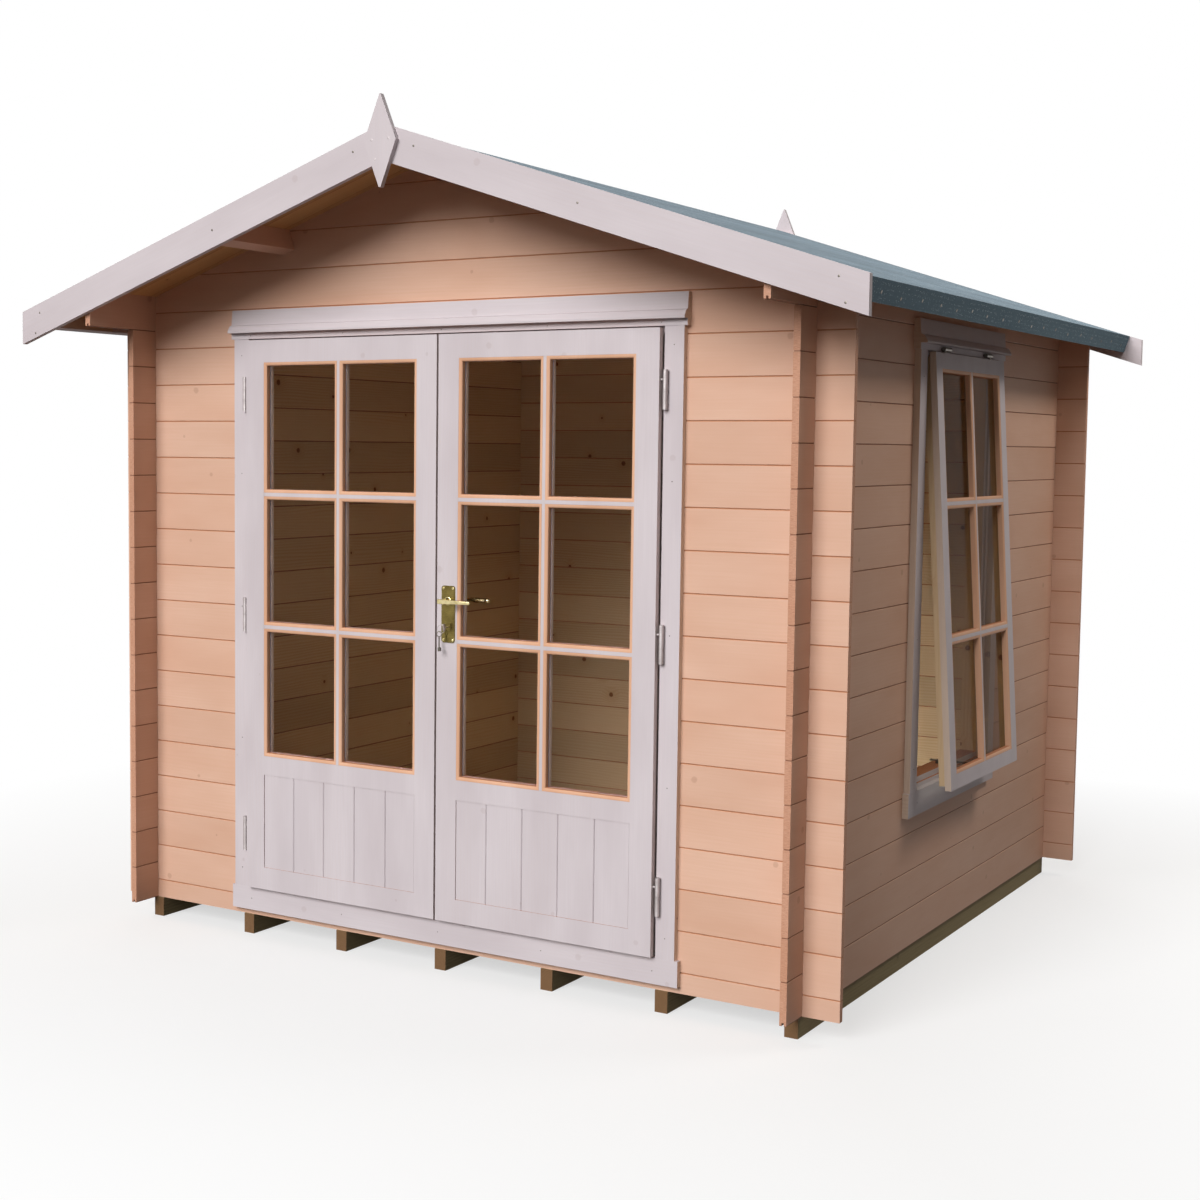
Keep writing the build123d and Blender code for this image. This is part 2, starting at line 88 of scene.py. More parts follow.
# roof and floor
ROOF_ANGLE = math.radians(18.4)
RIDGE_UNDERSIDE = 2.362
ROOF_BOARDS = 30
FLOOR_BOARDS = 25

Point = tuple[float, float, float]
Colour = tuple[float, float, float]
Sockets = bpy.types.bpy_prop_collection


class Axis(Enum):
    """The direction that a bar runs along, with the turn that brings it there from upright."""

    X = (0.0, math.pi / 2, 0.0)
    Y = (math.pi / 2, 0.0, 0.0)
    Z = (0.0, 0.0, 0.0)


def tone(red: int, green: int, blue: int) -> Colour:
    """Turns a colour written 0 to 255 into the linear values that a shader takes.

    Args:
        red: red share of the colour.
        green: green share of the colour.
        blue: blue share of the colour.

    Returns:
        The linear colour.
    """
    def linear(value: int) -> float:
        """One channel of the colour, made linear."""
        share = value / 255
        return share / 12.92 if share <= 0.04045 else ((share + 0.055) / 1.055) ** 2.4
    return linear(red), linear(green), linear(blue)


# working by hand


def clear_choice() -> None:
    """Leaves object mode with nothing chosen."""
    if bpy.context.object and bpy.context.object.mode != "OBJECT":
        bpy.ops.object.mode_set(mode="OBJECT")
    bpy.ops.object.select_all(action="DESELECT")


def choose(pieces: Iterable[bpy.types.Object]) -> None:
    """Chooses pieces, the last one active.

    Args:
        pieces: what is chosen.
    """
    clear_choice()
    for piece in pieces:
        piece.select_set(True)
        bpy.context.view_layer.objects.active = piece


def settle(piece: bpy.types.Object) -> bpy.types.Object:
    """Puts a piece's place, turn and size into its mesh.

    Args:
        piece: the piece.

    Returns:
        The same piece.
    """
    choose([piece])
    bpy.ops.object.transform_apply(location=True, rotation=True, scale=True)
    return piece


def cut_board(name: str, low: Sequence[float], high: Sequence[float],
              ease: float = 0.0006, steps: int = 1) -> bpy.types.Object:
    """Squares a board between two corners and eases its edges.

    Args:
        name: what the piece is called.
        low: its lowest corner.
        high: its highest corner.
        ease: width of the eased edge, in metres.
        steps: faces across the eased edge.

    Returns:
        The board, with its place in its mesh.
    """
    clear_choice()
    middle = [(a + b) / 2 for a, b in zip(low, high)]
    bpy.ops.mesh.primitive_cube_add(size=1, location=middle)
    board = bpy.context.object
    board.name = name
    board.scale = [b - a for a, b in zip(low, high)]
    settle(board)
    if ease:
        ease_edges(board, ease, steps)
    return board


def turn_bar(name: str, centre: Sequence[float], radius: float, length: float,
             axis: Axis = Axis.Z, sides: int = 24) -> bpy.types.Object:
    """Turns a round bar about its centre.

    Args:
        name: what the piece is called.
        centre: middle of the bar.
        radius: its radius.
        length: its length.
        axis: the direction that it runs along.
        sides: facets round it.

    Returns:
        The bar, with its place in its mesh.
    """
    clear_choice()
    bpy.ops.mesh.primitive_cylinder_add(vertices=sides, radius=radius, depth=length,
                                        location=centre, rotation=axis.value)
    bar = bpy.context.object
    bar.name = name
    return settle(bar)


def turn_ring(name: str, centre: Sequence[float], radius: float, thick: float, sides: int,
              swing: float = 0.0) -> bpy.types.Object:
    """Bends a round wire into an upright ring that faces -Y.

    Args:
        name: what the piece is called.
        centre: middle of the ring.
        radius: radius of the wire's middle line.
        thick: radius of the wire.
        sides: facets round the ring.
        swing: turn about the upright axis, in radians.

    Returns:
        The ring, with its place in its mesh.
    """
    clear_choice()
    bpy.ops.mesh.primitive_torus_add(major_radius=radius, minor_radius=thick,
                                     major_segments=sides, minor_segments=8,
                                     location=centre, rotation=(math.pi / 2, 0, swing))
    ring = bpy.context.object
    ring.name = name
    return settle(ring)


def ease_edges(piece: bpy.types.Object, width: float, steps: int = 2,
               angle: float = 30) -> None:
    """Rounds the sharp edges of a piece.

    Args:
        piece: the piece.
        width: width of the eased edge.
        steps: faces across it.
        angle: edges sharper than this are eased, in degrees.
    """
    choose([piece])
    edge = piece.modifiers.new("ease", "BEVEL")
    edge.width = width
    edge.segments = steps
    edge.limit_method = "ANGLE"
    edge.angle_limit = math.radians(angle)
    edge.harden_normals = False
    bpy.ops.object.modifier_apply(modifier=edge.name)


def pick_faces(piece: bpy.types.Object, test: Callable[[Vector, Vector], bool]) -> None:
    """Opens a piece for editing with some faces chosen.

    Args:
        piece: the piece.
        test: takes a face's centre and normal, and says whether it is chosen.
    """
    choose([piece])
    for vertex in piece.data.vertices:
        vertex.select = False
    for edge in piece.data.edges:
        edge.select = False
    for face in piece.data.polygons:
        face.select = test(face.center, face.normal)
    bpy.ops.object.mode_set(mode="EDIT")
    bpy.ops.mesh.select_mode(type="FACE")


def pick_points(piece: bpy.types.Object, test: Callable[[Vector], bool]) -> None:
    """Opens a piece for editing with some corners chosen.

    Args:
        piece: the piece.
        test: takes a corner's place and says whether it is chosen.
    """
    choose([piece])
    for face in piece.data.polygons:
        face.select = False
    for edge in piece.data.edges:
        edge.select = False
    for vertex in piece.data.vertices:
        vertex.select = test(vertex.co)
    bpy.ops.object.mode_set(mode="EDIT")
    bpy.ops.mesh.select_mode(type="VERT")


def pick_edges(piece: bpy.types.Object, test: Callable[[Vector, Vector], bool]) -> None:
    """Opens a piece for editing with some edges chosen.

    Args:
        piece: the piece.
        test: takes the places of an edge's ends and says whether it is chosen.
    """
    pick_faces(piece, lambda centre, normal: False)
    bpy.ops.mesh.select_mode(type="EDGE")
    close_edit()
    for edge in piece.data.edges:
        start, stop = (piece.data.vertices[end].co for end in edge.vertices)
        edge.select = test(start, stop)
    bpy.ops.object.mode_set(mode="EDIT")


def close_edit() -> None:
    """Leaves edit mode."""
    bpy.ops.object.mode_set(mode="OBJECT")


def copy_piece(piece: bpy.types.Object, move: Matrix) -> bpy.types.Object:
    """Copies a piece with a mesh of its own, moves it and keeps its faces outward.

    Args:
        piece: what is copied.
        move: the move, which may mirror.

    Returns:
        The copy, with its place in its mesh.
    """
    twin = piece.copy()
    twin.data = piece.data.copy()
    bpy.context.collection.objects.link(twin)
    twin.data.transform(move)
    if move.determinant() < 0:
        twin.data.flip_normals()
    return twin


def join_pieces(pieces: Sequence[bpy.types.Object], name: str) -> bpy.types.Object:
    """Joins pieces into one object.

    Args:
        pieces: what is joined.
        name: what the whole is called.

    Returns:
        The whole.
    """
    choose(pieces)
    if len(pieces) > 1:
        bpy.ops.object.join()
    whole = bpy.context.object
    whole.name = name
    whole.data.name = name
    return whole


def smooth(piece: bpy.types.Object, angle: float = 35) -> None:
    """Shades a piece smooth up to an angle, in degrees."""
    choose([piece])
    bpy.ops.object.shade_smooth_by_angle(angle=math.radians(angle))


def to_right_wall() -> Matrix:
    """The turn that carries a piece from the front wall to the right-hand one."""
    return Matrix.Rotation(math.pi / 2, 4, "Z")


def through_leaf() -> Matrix:
    """The mirroring that carries a piece from the outside of a leaf to its inside."""
    return Matrix.Translation((0, 2 * LEAF_MIDDLE, 0)) @ Matrix.Scale(-1, 4, (0, 1, 0))


def sash_turn() -> Matrix:
    """Works out the turn that opens the sash and carries it to its wall.

    Returns:
        The swing on its hinges, then the turn to the right-hand wall.
    """
    swing = (Matrix.Translation(SASH_PIVOT) @ Matrix.Rotation(-SASH_OPEN, 4, "X")
             @ Matrix.Translation(-SASH_PIVOT))
    return to_right_wall() @ swing


# wiring of the finishes


class Wiring:
    """Adds and joins the nodes of one tree."""

    def __init__(self, tree: bpy.types.NodeTree) -> None:
        """Starts on a tree."""
        self.tree = tree

    def node(self, kind: str, inputs: dict | None = None,
             **settings: object) -> bpy.types.Node:
        """Adds a node.

        Args:
            kind: the node's type, without its ShaderNode prefix.
            inputs: value or socket for each input, by name or place.
            **settings: the node's own settings.

        Returns:
            The node.
        """
        made = self.tree.nodes.new("ShaderNode" + kind)
        for key, value in settings.items():
            setattr(made, key, value)
        for key, value in (inputs or {}).items():
            self.feed(made.inputs[key], value)
        return made

    def feed(self, socket: bpy.types.NodeSocket, value: object) -> None:
        """Joins a socket to another, or sets its value.

        Args:
            socket: the input.
            value: the socket that feeds it, or its value.
        """
        if isinstance(value, bpy.types.NodeSocket):
            self.tree.links.new(value, socket)
        elif isinstance(value, tuple) and len(value) == 3 and socket.type == "RGBA":
            socket.default_value = (*value, 1)
        else:
            socket.default_value = value

    def maths(self, operation: str, first: object,
              second: object = 0.0) -> bpy.types.NodeSocket:
        """A sum on numbers."""
        return self.node("Math", {0: first, 1: second}, operation=operation).outputs[0]

    def plus(self, first: object, second: object) -> bpy.types.NodeSocket:
        """One number added to another."""
        return self.maths("ADD", first, second)

    def times(self, first: object, second: object) -> bpy.types.NodeSocket:
        """One number times another."""
        return self.maths("MULTIPLY", first, second)

    def split(self, place: object) -> Sockets:
        """The three numbers of a place or a direction."""
        return self.node("SeparateXYZ", {0: place}).outputs

    def dot(self, place: object, along: Sequence[float]) -> bpy.types.NodeSocket:
        """How far a place lies along a direction."""
        return self.node("VectorMath", {0: place, 1: tuple(along)},
                         operation="DOT_PRODUCT").outputs["Value"]

    def blend(self, share: object, first: object, second: object,
              way: str = "MIX") -> bpy.types.NodeSocket:
        """Mixes two colours.

        Args:
            share: share of the second colour.
            first: the colour at share 0.
            second: the colour at share 1.
            way: how they are mixed.

        Returns:
            The mixed colour.
        """
        made = self.node("Mix", data_type="RGBA", blend_type=way)
        self.feed(made.inputs[0], share)
        self.feed(made.inputs[6], first)
        self.feed(made.inputs[7], second)
        return made.outputs[2]

    def scale(self, value: object, low: object, high: object, to_low: object = 0.0,
              to_high: object = 1.0) -> bpy.types.NodeSocket:
        """A value brought from one range to another, held at its ends."""
        return self.node("MapRange", {0: value, 1: low, 2: high, 3: to_low, 4: to_high},
                         clamp=True).outputs[0]

    def noise(self, place: object, scale: float, detail: float = 2.0, rough: float = 0.5,
              twist: float = 0.0) -> bpy.types.NodeSocket:
        """Soft noise from 0 to 1."""
        return self.node("TexNoise", {"Vector": place, "Scale": scale, "Detail": detail,
                                      "Roughness": rough, "Distortion": twist}).outputs[0]

    def join(self, first: object, second: object, third: object = 0.0) -> bpy.types.NodeSocket:
        """Three numbers as one vector."""
        return self.node("CombineXYZ", {0: first, 1: second, 2: third}).outputs[0]

    def stretch(self, place: object, by: Point) -> bpy.types.NodeSocket:
        """A place with each of its numbers multiplied by one of its own."""
        return self.node("VectorMath", {0: place, 1: by}, operation="MULTIPLY").outputs[0]

    def length(self, place: object) -> bpy.types.NodeSocket:
        """How long a vector is."""
        return self.node("VectorMath", {0: place}, operation="LENGTH").outputs["Value"]

    def shade(self, colour: object, level: object) -> bpy.types.NodeSocket:
        """A colour made darker or lighter by a number."""
        grey = self.node("CombineColor", {0: level, 1: level, 2: level}).outputs[0]
        return self.blend(1.0, colour, grey, "MULTIPLY")

    def give_out(self, end: bpy.types.Node, results: dict) -> bpy.types.NodeTree:
        """Feeds the outputs of a shared effect.

        Args:
            end: the node that its outputs feed.
            results: socket for each output, by name.

        Returns:
            The effect.
        """
        for key, value in results.items():
            self.feed(end.inputs[key], value)
        return self.tree

    def group(self, tree: bpy.types.NodeTree, inputs: dict) -> bpy.types.Node:
        """Places a shared effect.

        Args:
            tree: the effect.
            inputs: value or socket for each of its inputs, by name.

        Returns:
            The node that holds it.
        """
        made = self.tree.nodes.new("ShaderNodeGroup")
        made.node_tree = tree
        for key, value in inputs.items():
            self.feed(made.inputs[key], value)
        return made


def new_material(name: str) -> tuple[bpy.types.Material, Wiring]:
    """Starts a material that has no nodes yet.

    Args:
        name: what it is called.

    Returns:
        The material and the wiring of its tree.
    """
    material = bpy.data.materials.new(name)
    material.use_nodes = True
    material.node_tree.nodes.clear()
    return material, Wiring(material.node_tree)


def new_effect(name: str, inputs: dict[str, tuple[str, object]],
               outputs: Sequence[str]) -> tuple[Wiring, dict, bpy.types.Node]:
    """Starts a shared effect.

    Args:
        name: what it is called.
        inputs: type and default of each input, by name.
        outputs: names of its outputs, each a number over the surface.

    Returns:
        Its wiring, its inputs by name, and the node that its outputs feed.
    """
    tree = bpy.data.node_groups.new(name, "ShaderNodeTree")
    for key, (kind, default) in inputs.items():
        socket = tree.interface.new_socket(key, in_out="INPUT", socket_type="NodeSocket" + kind)
        socket.default_value = default
    for key in outputs:
        tree.interface.new_socket(key, in_out="OUTPUT", socket_type="NodeSocketFloat")
    entry = tree.nodes.new("NodeGroupInput")
    leave = tree.nodes.new("NodeGroupOutput")
    return Wiring(tree), {key: entry.outputs[key] for key in inputs}, leave


ALONG_THE_BOARD = {"Along": ("Float", 0.0), "Across": ("Float", 0.0), "Board": ("Float", 0.0)}


class Effects:
    """The effects that several finishes share, each built once."""

    def __init__(self) -> None:
        """Builds every shared effect."""
        self.figure = self._figure()
        self.ends = self._ends()
        self.brushed = self._brushed()
        self.handled = self._handled()

    @staticmethod
    def _figure() -> bpy.types.NodeTree:
        """Draws pine figure: growth rings, fibre, knots and the flow round them.

        Returns:
            The effect.
        """
        w, use, leave = new_effect(
            "timber_figure", {**ALONG_THE_BOARD, "Knot Share": ("Float", 0.5)},
            ("Rings", "Fibre", "Knot", "Halo"))
        knots_apart = (0.31, 0.085, 0.0)
        shift = w.times(use["Board"], 17.3)
        cell = w.join(w.plus(w.maths("DIVIDE", use["Along"], knots_apart[0]), shift),
                      w.plus(w.maths("DIVIDE", use["Across"], knots_apart[1]), shift))
        spots = w.node("TexVoronoi", {"Vector": cell, "Scale": 1.0, "Randomness": 0.85},
                       voronoi_dimensions="2D", feature="F1")
        away = w.node("VectorMath", {0: spots.outputs["Position"], 1: cell},
                      operation="SUBTRACT").outputs[0]
        distance = w.length(w.stretch(away, knots_apart))
        wobble = w.times(w.noise(cell, 9.0, 2.0), 0.006)
        distance = w.plus(distance, w.maths("SUBTRACT", wobble, 0.003))
        chance = w.node("SeparateColor", {0: spots.outputs["Color"]}).outputs
        there = w.maths("LESS_THAN", chance[0], use["Knot Share"])
        radius = w.scale(chance[1], 0.0, 1.0, 0.003, 0.011)
        knot = w.scale(distance, w.times(radius, 1.1), w.times(radius, 0.75))
        halo = w.times(w.scale(distance, w.times(radius, 4.5), radius), there)
        flow = w.join(w.times(use["Along"], 1.3), w.times(use["Across"], 9.0), shift)
        bend = w.times(w.noise(flow, 1.0, 2.0, 0.45), 5.5)
        phase = w.plus(w.times(use["Across"], 95.0), bend)
        phase = w.plus(phase, w.times(halo, 1.4))
        wave = w.maths("SINE", w.times(phase, 2 * math.pi))
        rings = w.maths("POWER", w.scale(wave, -1.0, 1.0), 1.7)
        fade = w.scale(w.noise(flow, 0.7, 1.0), 0.35, 0.65, 0.15, 1.0)
        streak = w.join(w.times(use["Along"], 7.0), w.times(use["Across"], 620.0), shift)
        return w.give_out(leave, {"Rings": w.times(rings, fade),
                                  "Fibre": w.noise(streak, 1.0, 3.0, 0.6),
                                  "Knot": w.times(knot, there), "Halo": halo})

    @staticmethod
    def _ends() -> bpy.types.NodeTree:
        """Draws end grain: arcs of growth rings with saw marks.

        Returns:
            The effect.
        """
        w, use, leave = new_effect(
            "end_grain", {"Across": ("Float", 0.0), "Depth": ("Float", 0.0),
                          "Board": ("Float", 0.0)}, ("Arcs", "Saw"))
        sweep = w.times(w.maths("SUBTRACT", use["Board"], 0.5), 0.08)
        centre = w.join(w.plus(use["Across"], sweep), w.plus(use["Depth"], 0.055))
        uneven = w.times(w.noise(centre, 60.0, 3.0), 0.003)
        reach = w.plus(w.length(centre), uneven)
        cut = w.join(w.times(use["Across"], 900.0), w.times(use["Depth"], 90.0))
        arcs = w.maths("SINE", w.times(reach, 1650.0))
        return w.give_out(leave, {"Arcs": w.scale(arcs, -1.0, 1.0),
                                  "Saw": w.noise(cut, 1.0, 4.0, 0.7)})

    @staticmethod
    def _brushed() -> bpy.types.NodeTree:
        """Draws brushed paint: long brush marks and broad uneven patches.

        Returns:
            The effect.
        """
        w, use, leave = new_effect("brushed_coat", ALONG_THE_BOARD, ("Patches", "Marks"))
        shift = w.times(use["Board"], 5.1)
        broad = w.join(w.times(use["Along"], 2.1), w.times(use["Across"], 7.0), shift)
        close = w.join(w.times(use["Along"], 5.0), w.times(use["Across"], 240.0), shift)
        return w.give_out(leave, {"Patches": w.noise(broad, 1.0, 3.0, 0.55),
                                  "Marks": w.noise(close, 1.0, 3.0, 0.6)})

    @staticmethod
    def _handled() -> bpy.types.NodeTree:
        """Draws metal in use: fine scratches, dull smears and specks.

        Returns:
            The effect.
        """
        w, use, leave = new_effect("handled_metal", {"Place": ("Vector", (0.0, 0.0, 0.0))},
                                   ("Smear", "Scratch", "Speck"))
        turned = w.node("Mapping", {"Vector": use["Place"], "Rotation": (0.4, 0.7, 0.5),
                                    "Scale": (60.0, 900.0, 900.0)}).outputs[0]
        specks = w.noise(use["Place"], 620.0, 2.0)
        return w.give_out(leave, {"Smear": w.noise(use["Place"], 42.0, 3.0, 0.55),
                                  "Scratch": w.scale(w.noise(turned, 1.0, 2.0), 0.56, 0.7),
                                  "Speck": w.scale(specks, 0.66, 0.74)})


# finishes


class Cover(Enum):
    """Where the coat of paint lies on a piece of timber."""

    NONE = "bare all over"
    WHOLE = "painted all over"
    WEATHER_SIDE = "painted beyond the walls' inner faces"
    FACE_LAYER = "painted beyond a plane"


class Glow(Enum):
    """The rays that see the plain white surround."""

    CAMERA = "Is Camera Ray"
    MIRRORED = "Is Glossy Ray"
    THROUGH_GLASS = "Is Transmission Ray"


@dataclass(frozen=True)
class Timber:
    """Planed or sawn pine, bare or under brushed paint.

    The run is the direction of the grain, across is square to it, and joints are the
    lines between boards.
    """

    name: str
    coat: Colour = tone(217, 178, 156)
    coat_shade: Colour = tone(208, 165, 141)
    pale: Colour = tone(222, 198, 160)
    dark: Colour = tone(194, 156, 112)
    knot: Colour = tone(120, 68, 36)
    joint: Colour = tone(172, 112, 72)
    cover: Cover = Cover.NONE
    plane_along: Point = (0.0, -1.0, 0.0)
    plane_at: float = 1.1465
    run: Point = (1.0, 1.0, 0.0)
    across: Point = (0.0, 0.0, 1.0)
    depth: Point = (1.0, 1.0, 0.0)
    end_axis: Point = (1.0, 0.0, 0.0)
    mirrored: bool = False
    raw_sides: float = 0.0
    board_pitch: float = 0.0
    board_start: float = 0.0
    joint_width: float = 0.0011
    knot_share: float = 0.22
    end_pale: Colour = tone(198, 136, 100)
    end_dark: Colour = tone(158, 96, 66)
    end_saw: Colour = tone(120, 68, 46)
    end_paint: float = 0.0
    show_through: float = 0.07
    rough: float = 0.62
    relief: float = 0.35

    def build(self, effects: Effects) -> bpy.types.Material:
        """Wires the finish.

        Args:
            effects: the shared effects.

        Returns:
            The material.
        """
        material, w = new_material(self.name)
        space = w.node("TexCoord").outputs
        place, facing = space["Object"], space["Normal"]
        parts = w.split(place)
        if self.mirrored:
            place = w.join(w.maths("ABSOLUTE", parts[0]), parts[1], parts[2])
        across = w.dot(place, self.across)
        step: object = 0.5
        board: object = 0.37
        if self.board_pitch:
            step = w.maths("DIVIDE", w.maths("SUBTRACT", across, self.board_start),
                           self.board_pitch)
            board = w.node("TexWhiteNoise", {"W": w.maths("FLOOR", step)},
                           noise_dimensions="1D").outputs["Value"]
        run = {"Along": w.dot(place, self.run), "Across": across, "Board": board}
        figure = w.group(effects.figure, {**run, "Knot Share": self.knot_share}).outputs
        ends = w.group(effects.ends, {"Across": across, "Depth": w.dot(place, self.depth),
                                      "Board": board}).outputs
        brush = w.group(effects.brushed, run).outputs

        colour = self._wood(w, figure, board)
        end_colour = self._end_wood(w, ends)
        height = w.plus(w.times(figure["Fibre"], 0.5), w.times(figure["Rings"], 0.35))
        if self.cover is not Cover.NONE:
            coat = self._coat(w, figure, brush, board)
            covered = self._covered(w, parts, place)
            if self.raw_sides:
                covered = self._bare_sides(w, parts, facing, covered)
            colour = w.blend(covered, colour, coat)
            thin = w.scale(ends["Saw"], 0.3, 0.62, self.end_paint, self.end_paint * 0.35)
            end_colour = w.blend(thin, end_colour, coat)
            height = w.plus(w.times(height, 0.6), w.times(brush["Marks"], 0.4))
        is_end = w.maths("GREATER_THAN", w.maths("ABSOLUTE", w.dot(facing, self.end_axis)), 0.8)
        colour = w.blend(is_end, colour, end_colour)
        height = w.plus(height, w.times(w.times(is_end, 3.0), ends["Saw"]))
        if self.board_pitch:
            colour = self._joint_lines(w, step, colour)
        bump = w.node("Bump", {"Strength": self.relief, "Distance": 0.0008, "Height": height})
        rough = w.scale(figure["Fibre"], 0.3, 0.8, self.rough - 0.06, self.rough + 0.12)
        shader = w.node("BsdfPrincipled", {"Base Color": colour, "Roughness": rough,
                                           "Specular IOR Level": 0.32,
                                           "Normal": bump.outputs[0]})
        w.node("OutputMaterial", {"Surface": shader.outputs[0]})
        return material

    def _wood(self, w: Wiring, figure: Sockets, board: object) -> bpy.types.NodeSocket:
        """Colours the bare timber.

        Args:
            w: the material's wiring.
            figure: rings, fibre, knots and their halos.
            board: the board's own number, from 0 to 1.

        Returns:
            The timber's colour.
        """
        wood = w.blend(w.scale(figure["Rings"], 0.0, 1.0, 0.1, 0.5), self.pale, self.dark)
        wood = w.blend(w.scale(figure["Fibre"], 0.35, 0.75, 0.0, 0.28), wood, self.dark)
        wood = w.blend(w.times(figure["Halo"], 0.35), wood, self.dark)
        wood = w.blend(w.times(figure["Knot"], 0.85), wood, self.knot)
        if self.board_pitch:
            wood = w.shade(wood, w.scale(board, 0.0, 1.0, 0.86, 1.06))
        return wood

    def _end_wood(self, w: Wiring, ends: Sockets) -> bpy.types.NodeSocket:
        """Colours the end grain, from its arcs and saw marks."""
        arcs = w.blend(w.scale(ends["Arcs"], 0.0, 1.0, 0.1, 0.7), self.end_pale, self.end_dark)
        return w.blend(w.scale(ends["Saw"], 0.45, 0.75, 0.0, 0.5), arcs, self.end_saw)

    def _coat(self, w: Wiring, figure: Sockets, brush: Sockets,
              board: object) -> bpy.types.NodeSocket:
        """Colours the coat of paint, through which the figure shows a little.

        Args:
            w: the material's wiring.
            figure: rings and knots of the timber below.
            brush: patches and brush marks.
            board: the board's own number, from 0 to 1.

        Returns:
            The coat's colour.
        """
        coat = w.blend(w.scale(brush["Patches"], 0.32, 0.68), self.coat, self.coat_shade)
        coat = w.blend(w.scale(brush["Marks"], 0.35, 0.75, 0.0, 0.4), coat, self.coat_shade)
        if self.board_pitch:
            coat = w.shade(coat, w.scale(board, 0.0, 1.0, 0.965, 1.02))
        coat = w.blend(w.times(figure["Rings"], self.show_through), coat, self.dark)
        return w.blend(w.times(figure["Knot"], self.show_through * 3.0), coat, self.knot)

    def _covered(self, w: Wiring, parts: Sockets, place: bpy.types.NodeSocket) -> object:
        """Finds where the coat lies.

        Args:
            w: the material's wiring.
            parts: the three numbers of the place.
            place: the place, mirrored where the finish is.

        Returns:
            The share of the surface that the coat covers.
        """
        if self.cover is Cover.WHOLE:
            return 1.0
        if self.cover is Cover.WEATHER_SIDE:
            out = w.maths("MAXIMUM", w.maths("ABSOLUTE", parts[0]),
                          w.maths("ABSOLUTE", parts[1]))
        else:
            out = w.dot(place, self.plane_along)
        return w.maths("GREATER_THAN", out, self.plane_at)

    def _bare_sides(self, w: Wiring, parts: Sockets, facing: bpy.types.NodeSocket,
                    covered: object) -> bpy.types.NodeSocket:
        """Thins the coat on the edges that face along the wall.

        Args:
            w: the material's wiring.
            parts: the three numbers of the place.
            facing: the surface's normal.
            covered: the share that the coat would cover.

        Returns:
            The share that it covers.
        """
        turned = w.split(facing)
        on_front = w.maths("LESS_THAN", parts[1], -1.12)
        side = w.node("Mix", {0: on_front, 2: w.maths("ABSOLUTE", turned[1]),
                              3: w.maths("ABSOLUTE", turned[0])}).outputs[0]
        side = w.maths("GREATER_THAN", side, 0.7)
        left = w.maths("SUBTRACT", 1.0, w.times(side, self.raw_sides))
        return w.times(covered, left)

    def _joint_lines(self, w: Wiring, step: object, colour: object) -> bpy.types.NodeSocket:
        """Draws the lines between boards.

        Args:
            w: the material's wiring.
            step: how many boards lie below.
            colour: the surface's colour without the lines.

        Returns:
            The colour with the lines.
        """
        near = w.maths("SUBTRACT", w.maths("FRACT", w.plus(step, 0.5)), 0.5)
        near = w.times(w.maths("ABSOLUTE", near), self.board_pitch)
        line = w.scale(near, self.joint_width * 2, self.joint_width * 0.8)
        return w.blend(w.times(line, 0.85), colour, self.joint)


@dataclass(frozen=True)
class Felt:
    """Blue-grey roofing felt with pale chippings, with painted shade where it turns down at the
    edges.
    """

    name: str = "roofing_felt"
    base: Colour = tone(106, 127, 140)
    deep: Colour = tone(72, 91, 104)
    pale: Colour = tone(204, 216, 222)
    # painted shade for the turned-down edges, which face away from the light
    turned_edge_shade: Colour = tone(36, 58, 66)

    def build(self, effects: Effects) -> bpy.types.Material:
        """Wires the finish.

        Args:
            effects: the shared effects, of which felt has none.

        Returns:
            The material.
        """
        material, w = new_material(self.name)
        space = w.node("TexCoord").outputs
        place = space["Object"]
        lean = w.split(space["Normal"])[2]
        streaks = w.noise(w.stretch(place, (7.0, 0.9, 7.0)), 1.3, 4.0, 0.6)
        grit = w.noise(place, 420.0, 3.0, 0.7)
        chips = w.node("TexVoronoi", {"Vector": place, "Scale": 260.0}, feature="F1").outputs
        shine = w.node("SeparateColor", {0: chips["Color"]}).outputs[0]
        bright = w.times(w.scale(chips["Distance"], 0.42, 0.2),
                         w.maths("GREATER_THAN", shine, 0.8))
        colour = w.blend(w.scale(streaks, 0.35, 0.7), self.base, self.deep)
        colour = w.blend(w.scale(grit, 0.4, 0.75, 0.0, 0.65), colour, self.deep)
        # painted shade: darker as the face turns down from the slope, most on the turned-down
        # edges
        colour = w.blend(w.scale(lean, 0.88, 0.3, 0.0, 0.6), colour, self.turned_edge_shade)
        colour = w.blend(w.times(bright, 0.75), colour, self.pale)
        height = w.plus(grit, w.times(bright, 0.6))
        bump = w.node("Bump", {"Strength": 0.55, "Distance": 0.0012, "Height": height})
        shader = w.node("BsdfPrincipled", {
            "Base Color": colour, "Roughness": w.scale(grit, 0.3, 0.8, 0.8, 0.96),
            "Specular IOR Level": 0.6, "Normal": bump.outputs[0]})
        w.node("OutputMaterial", {"Surface": shader.outputs[0]})
        return material


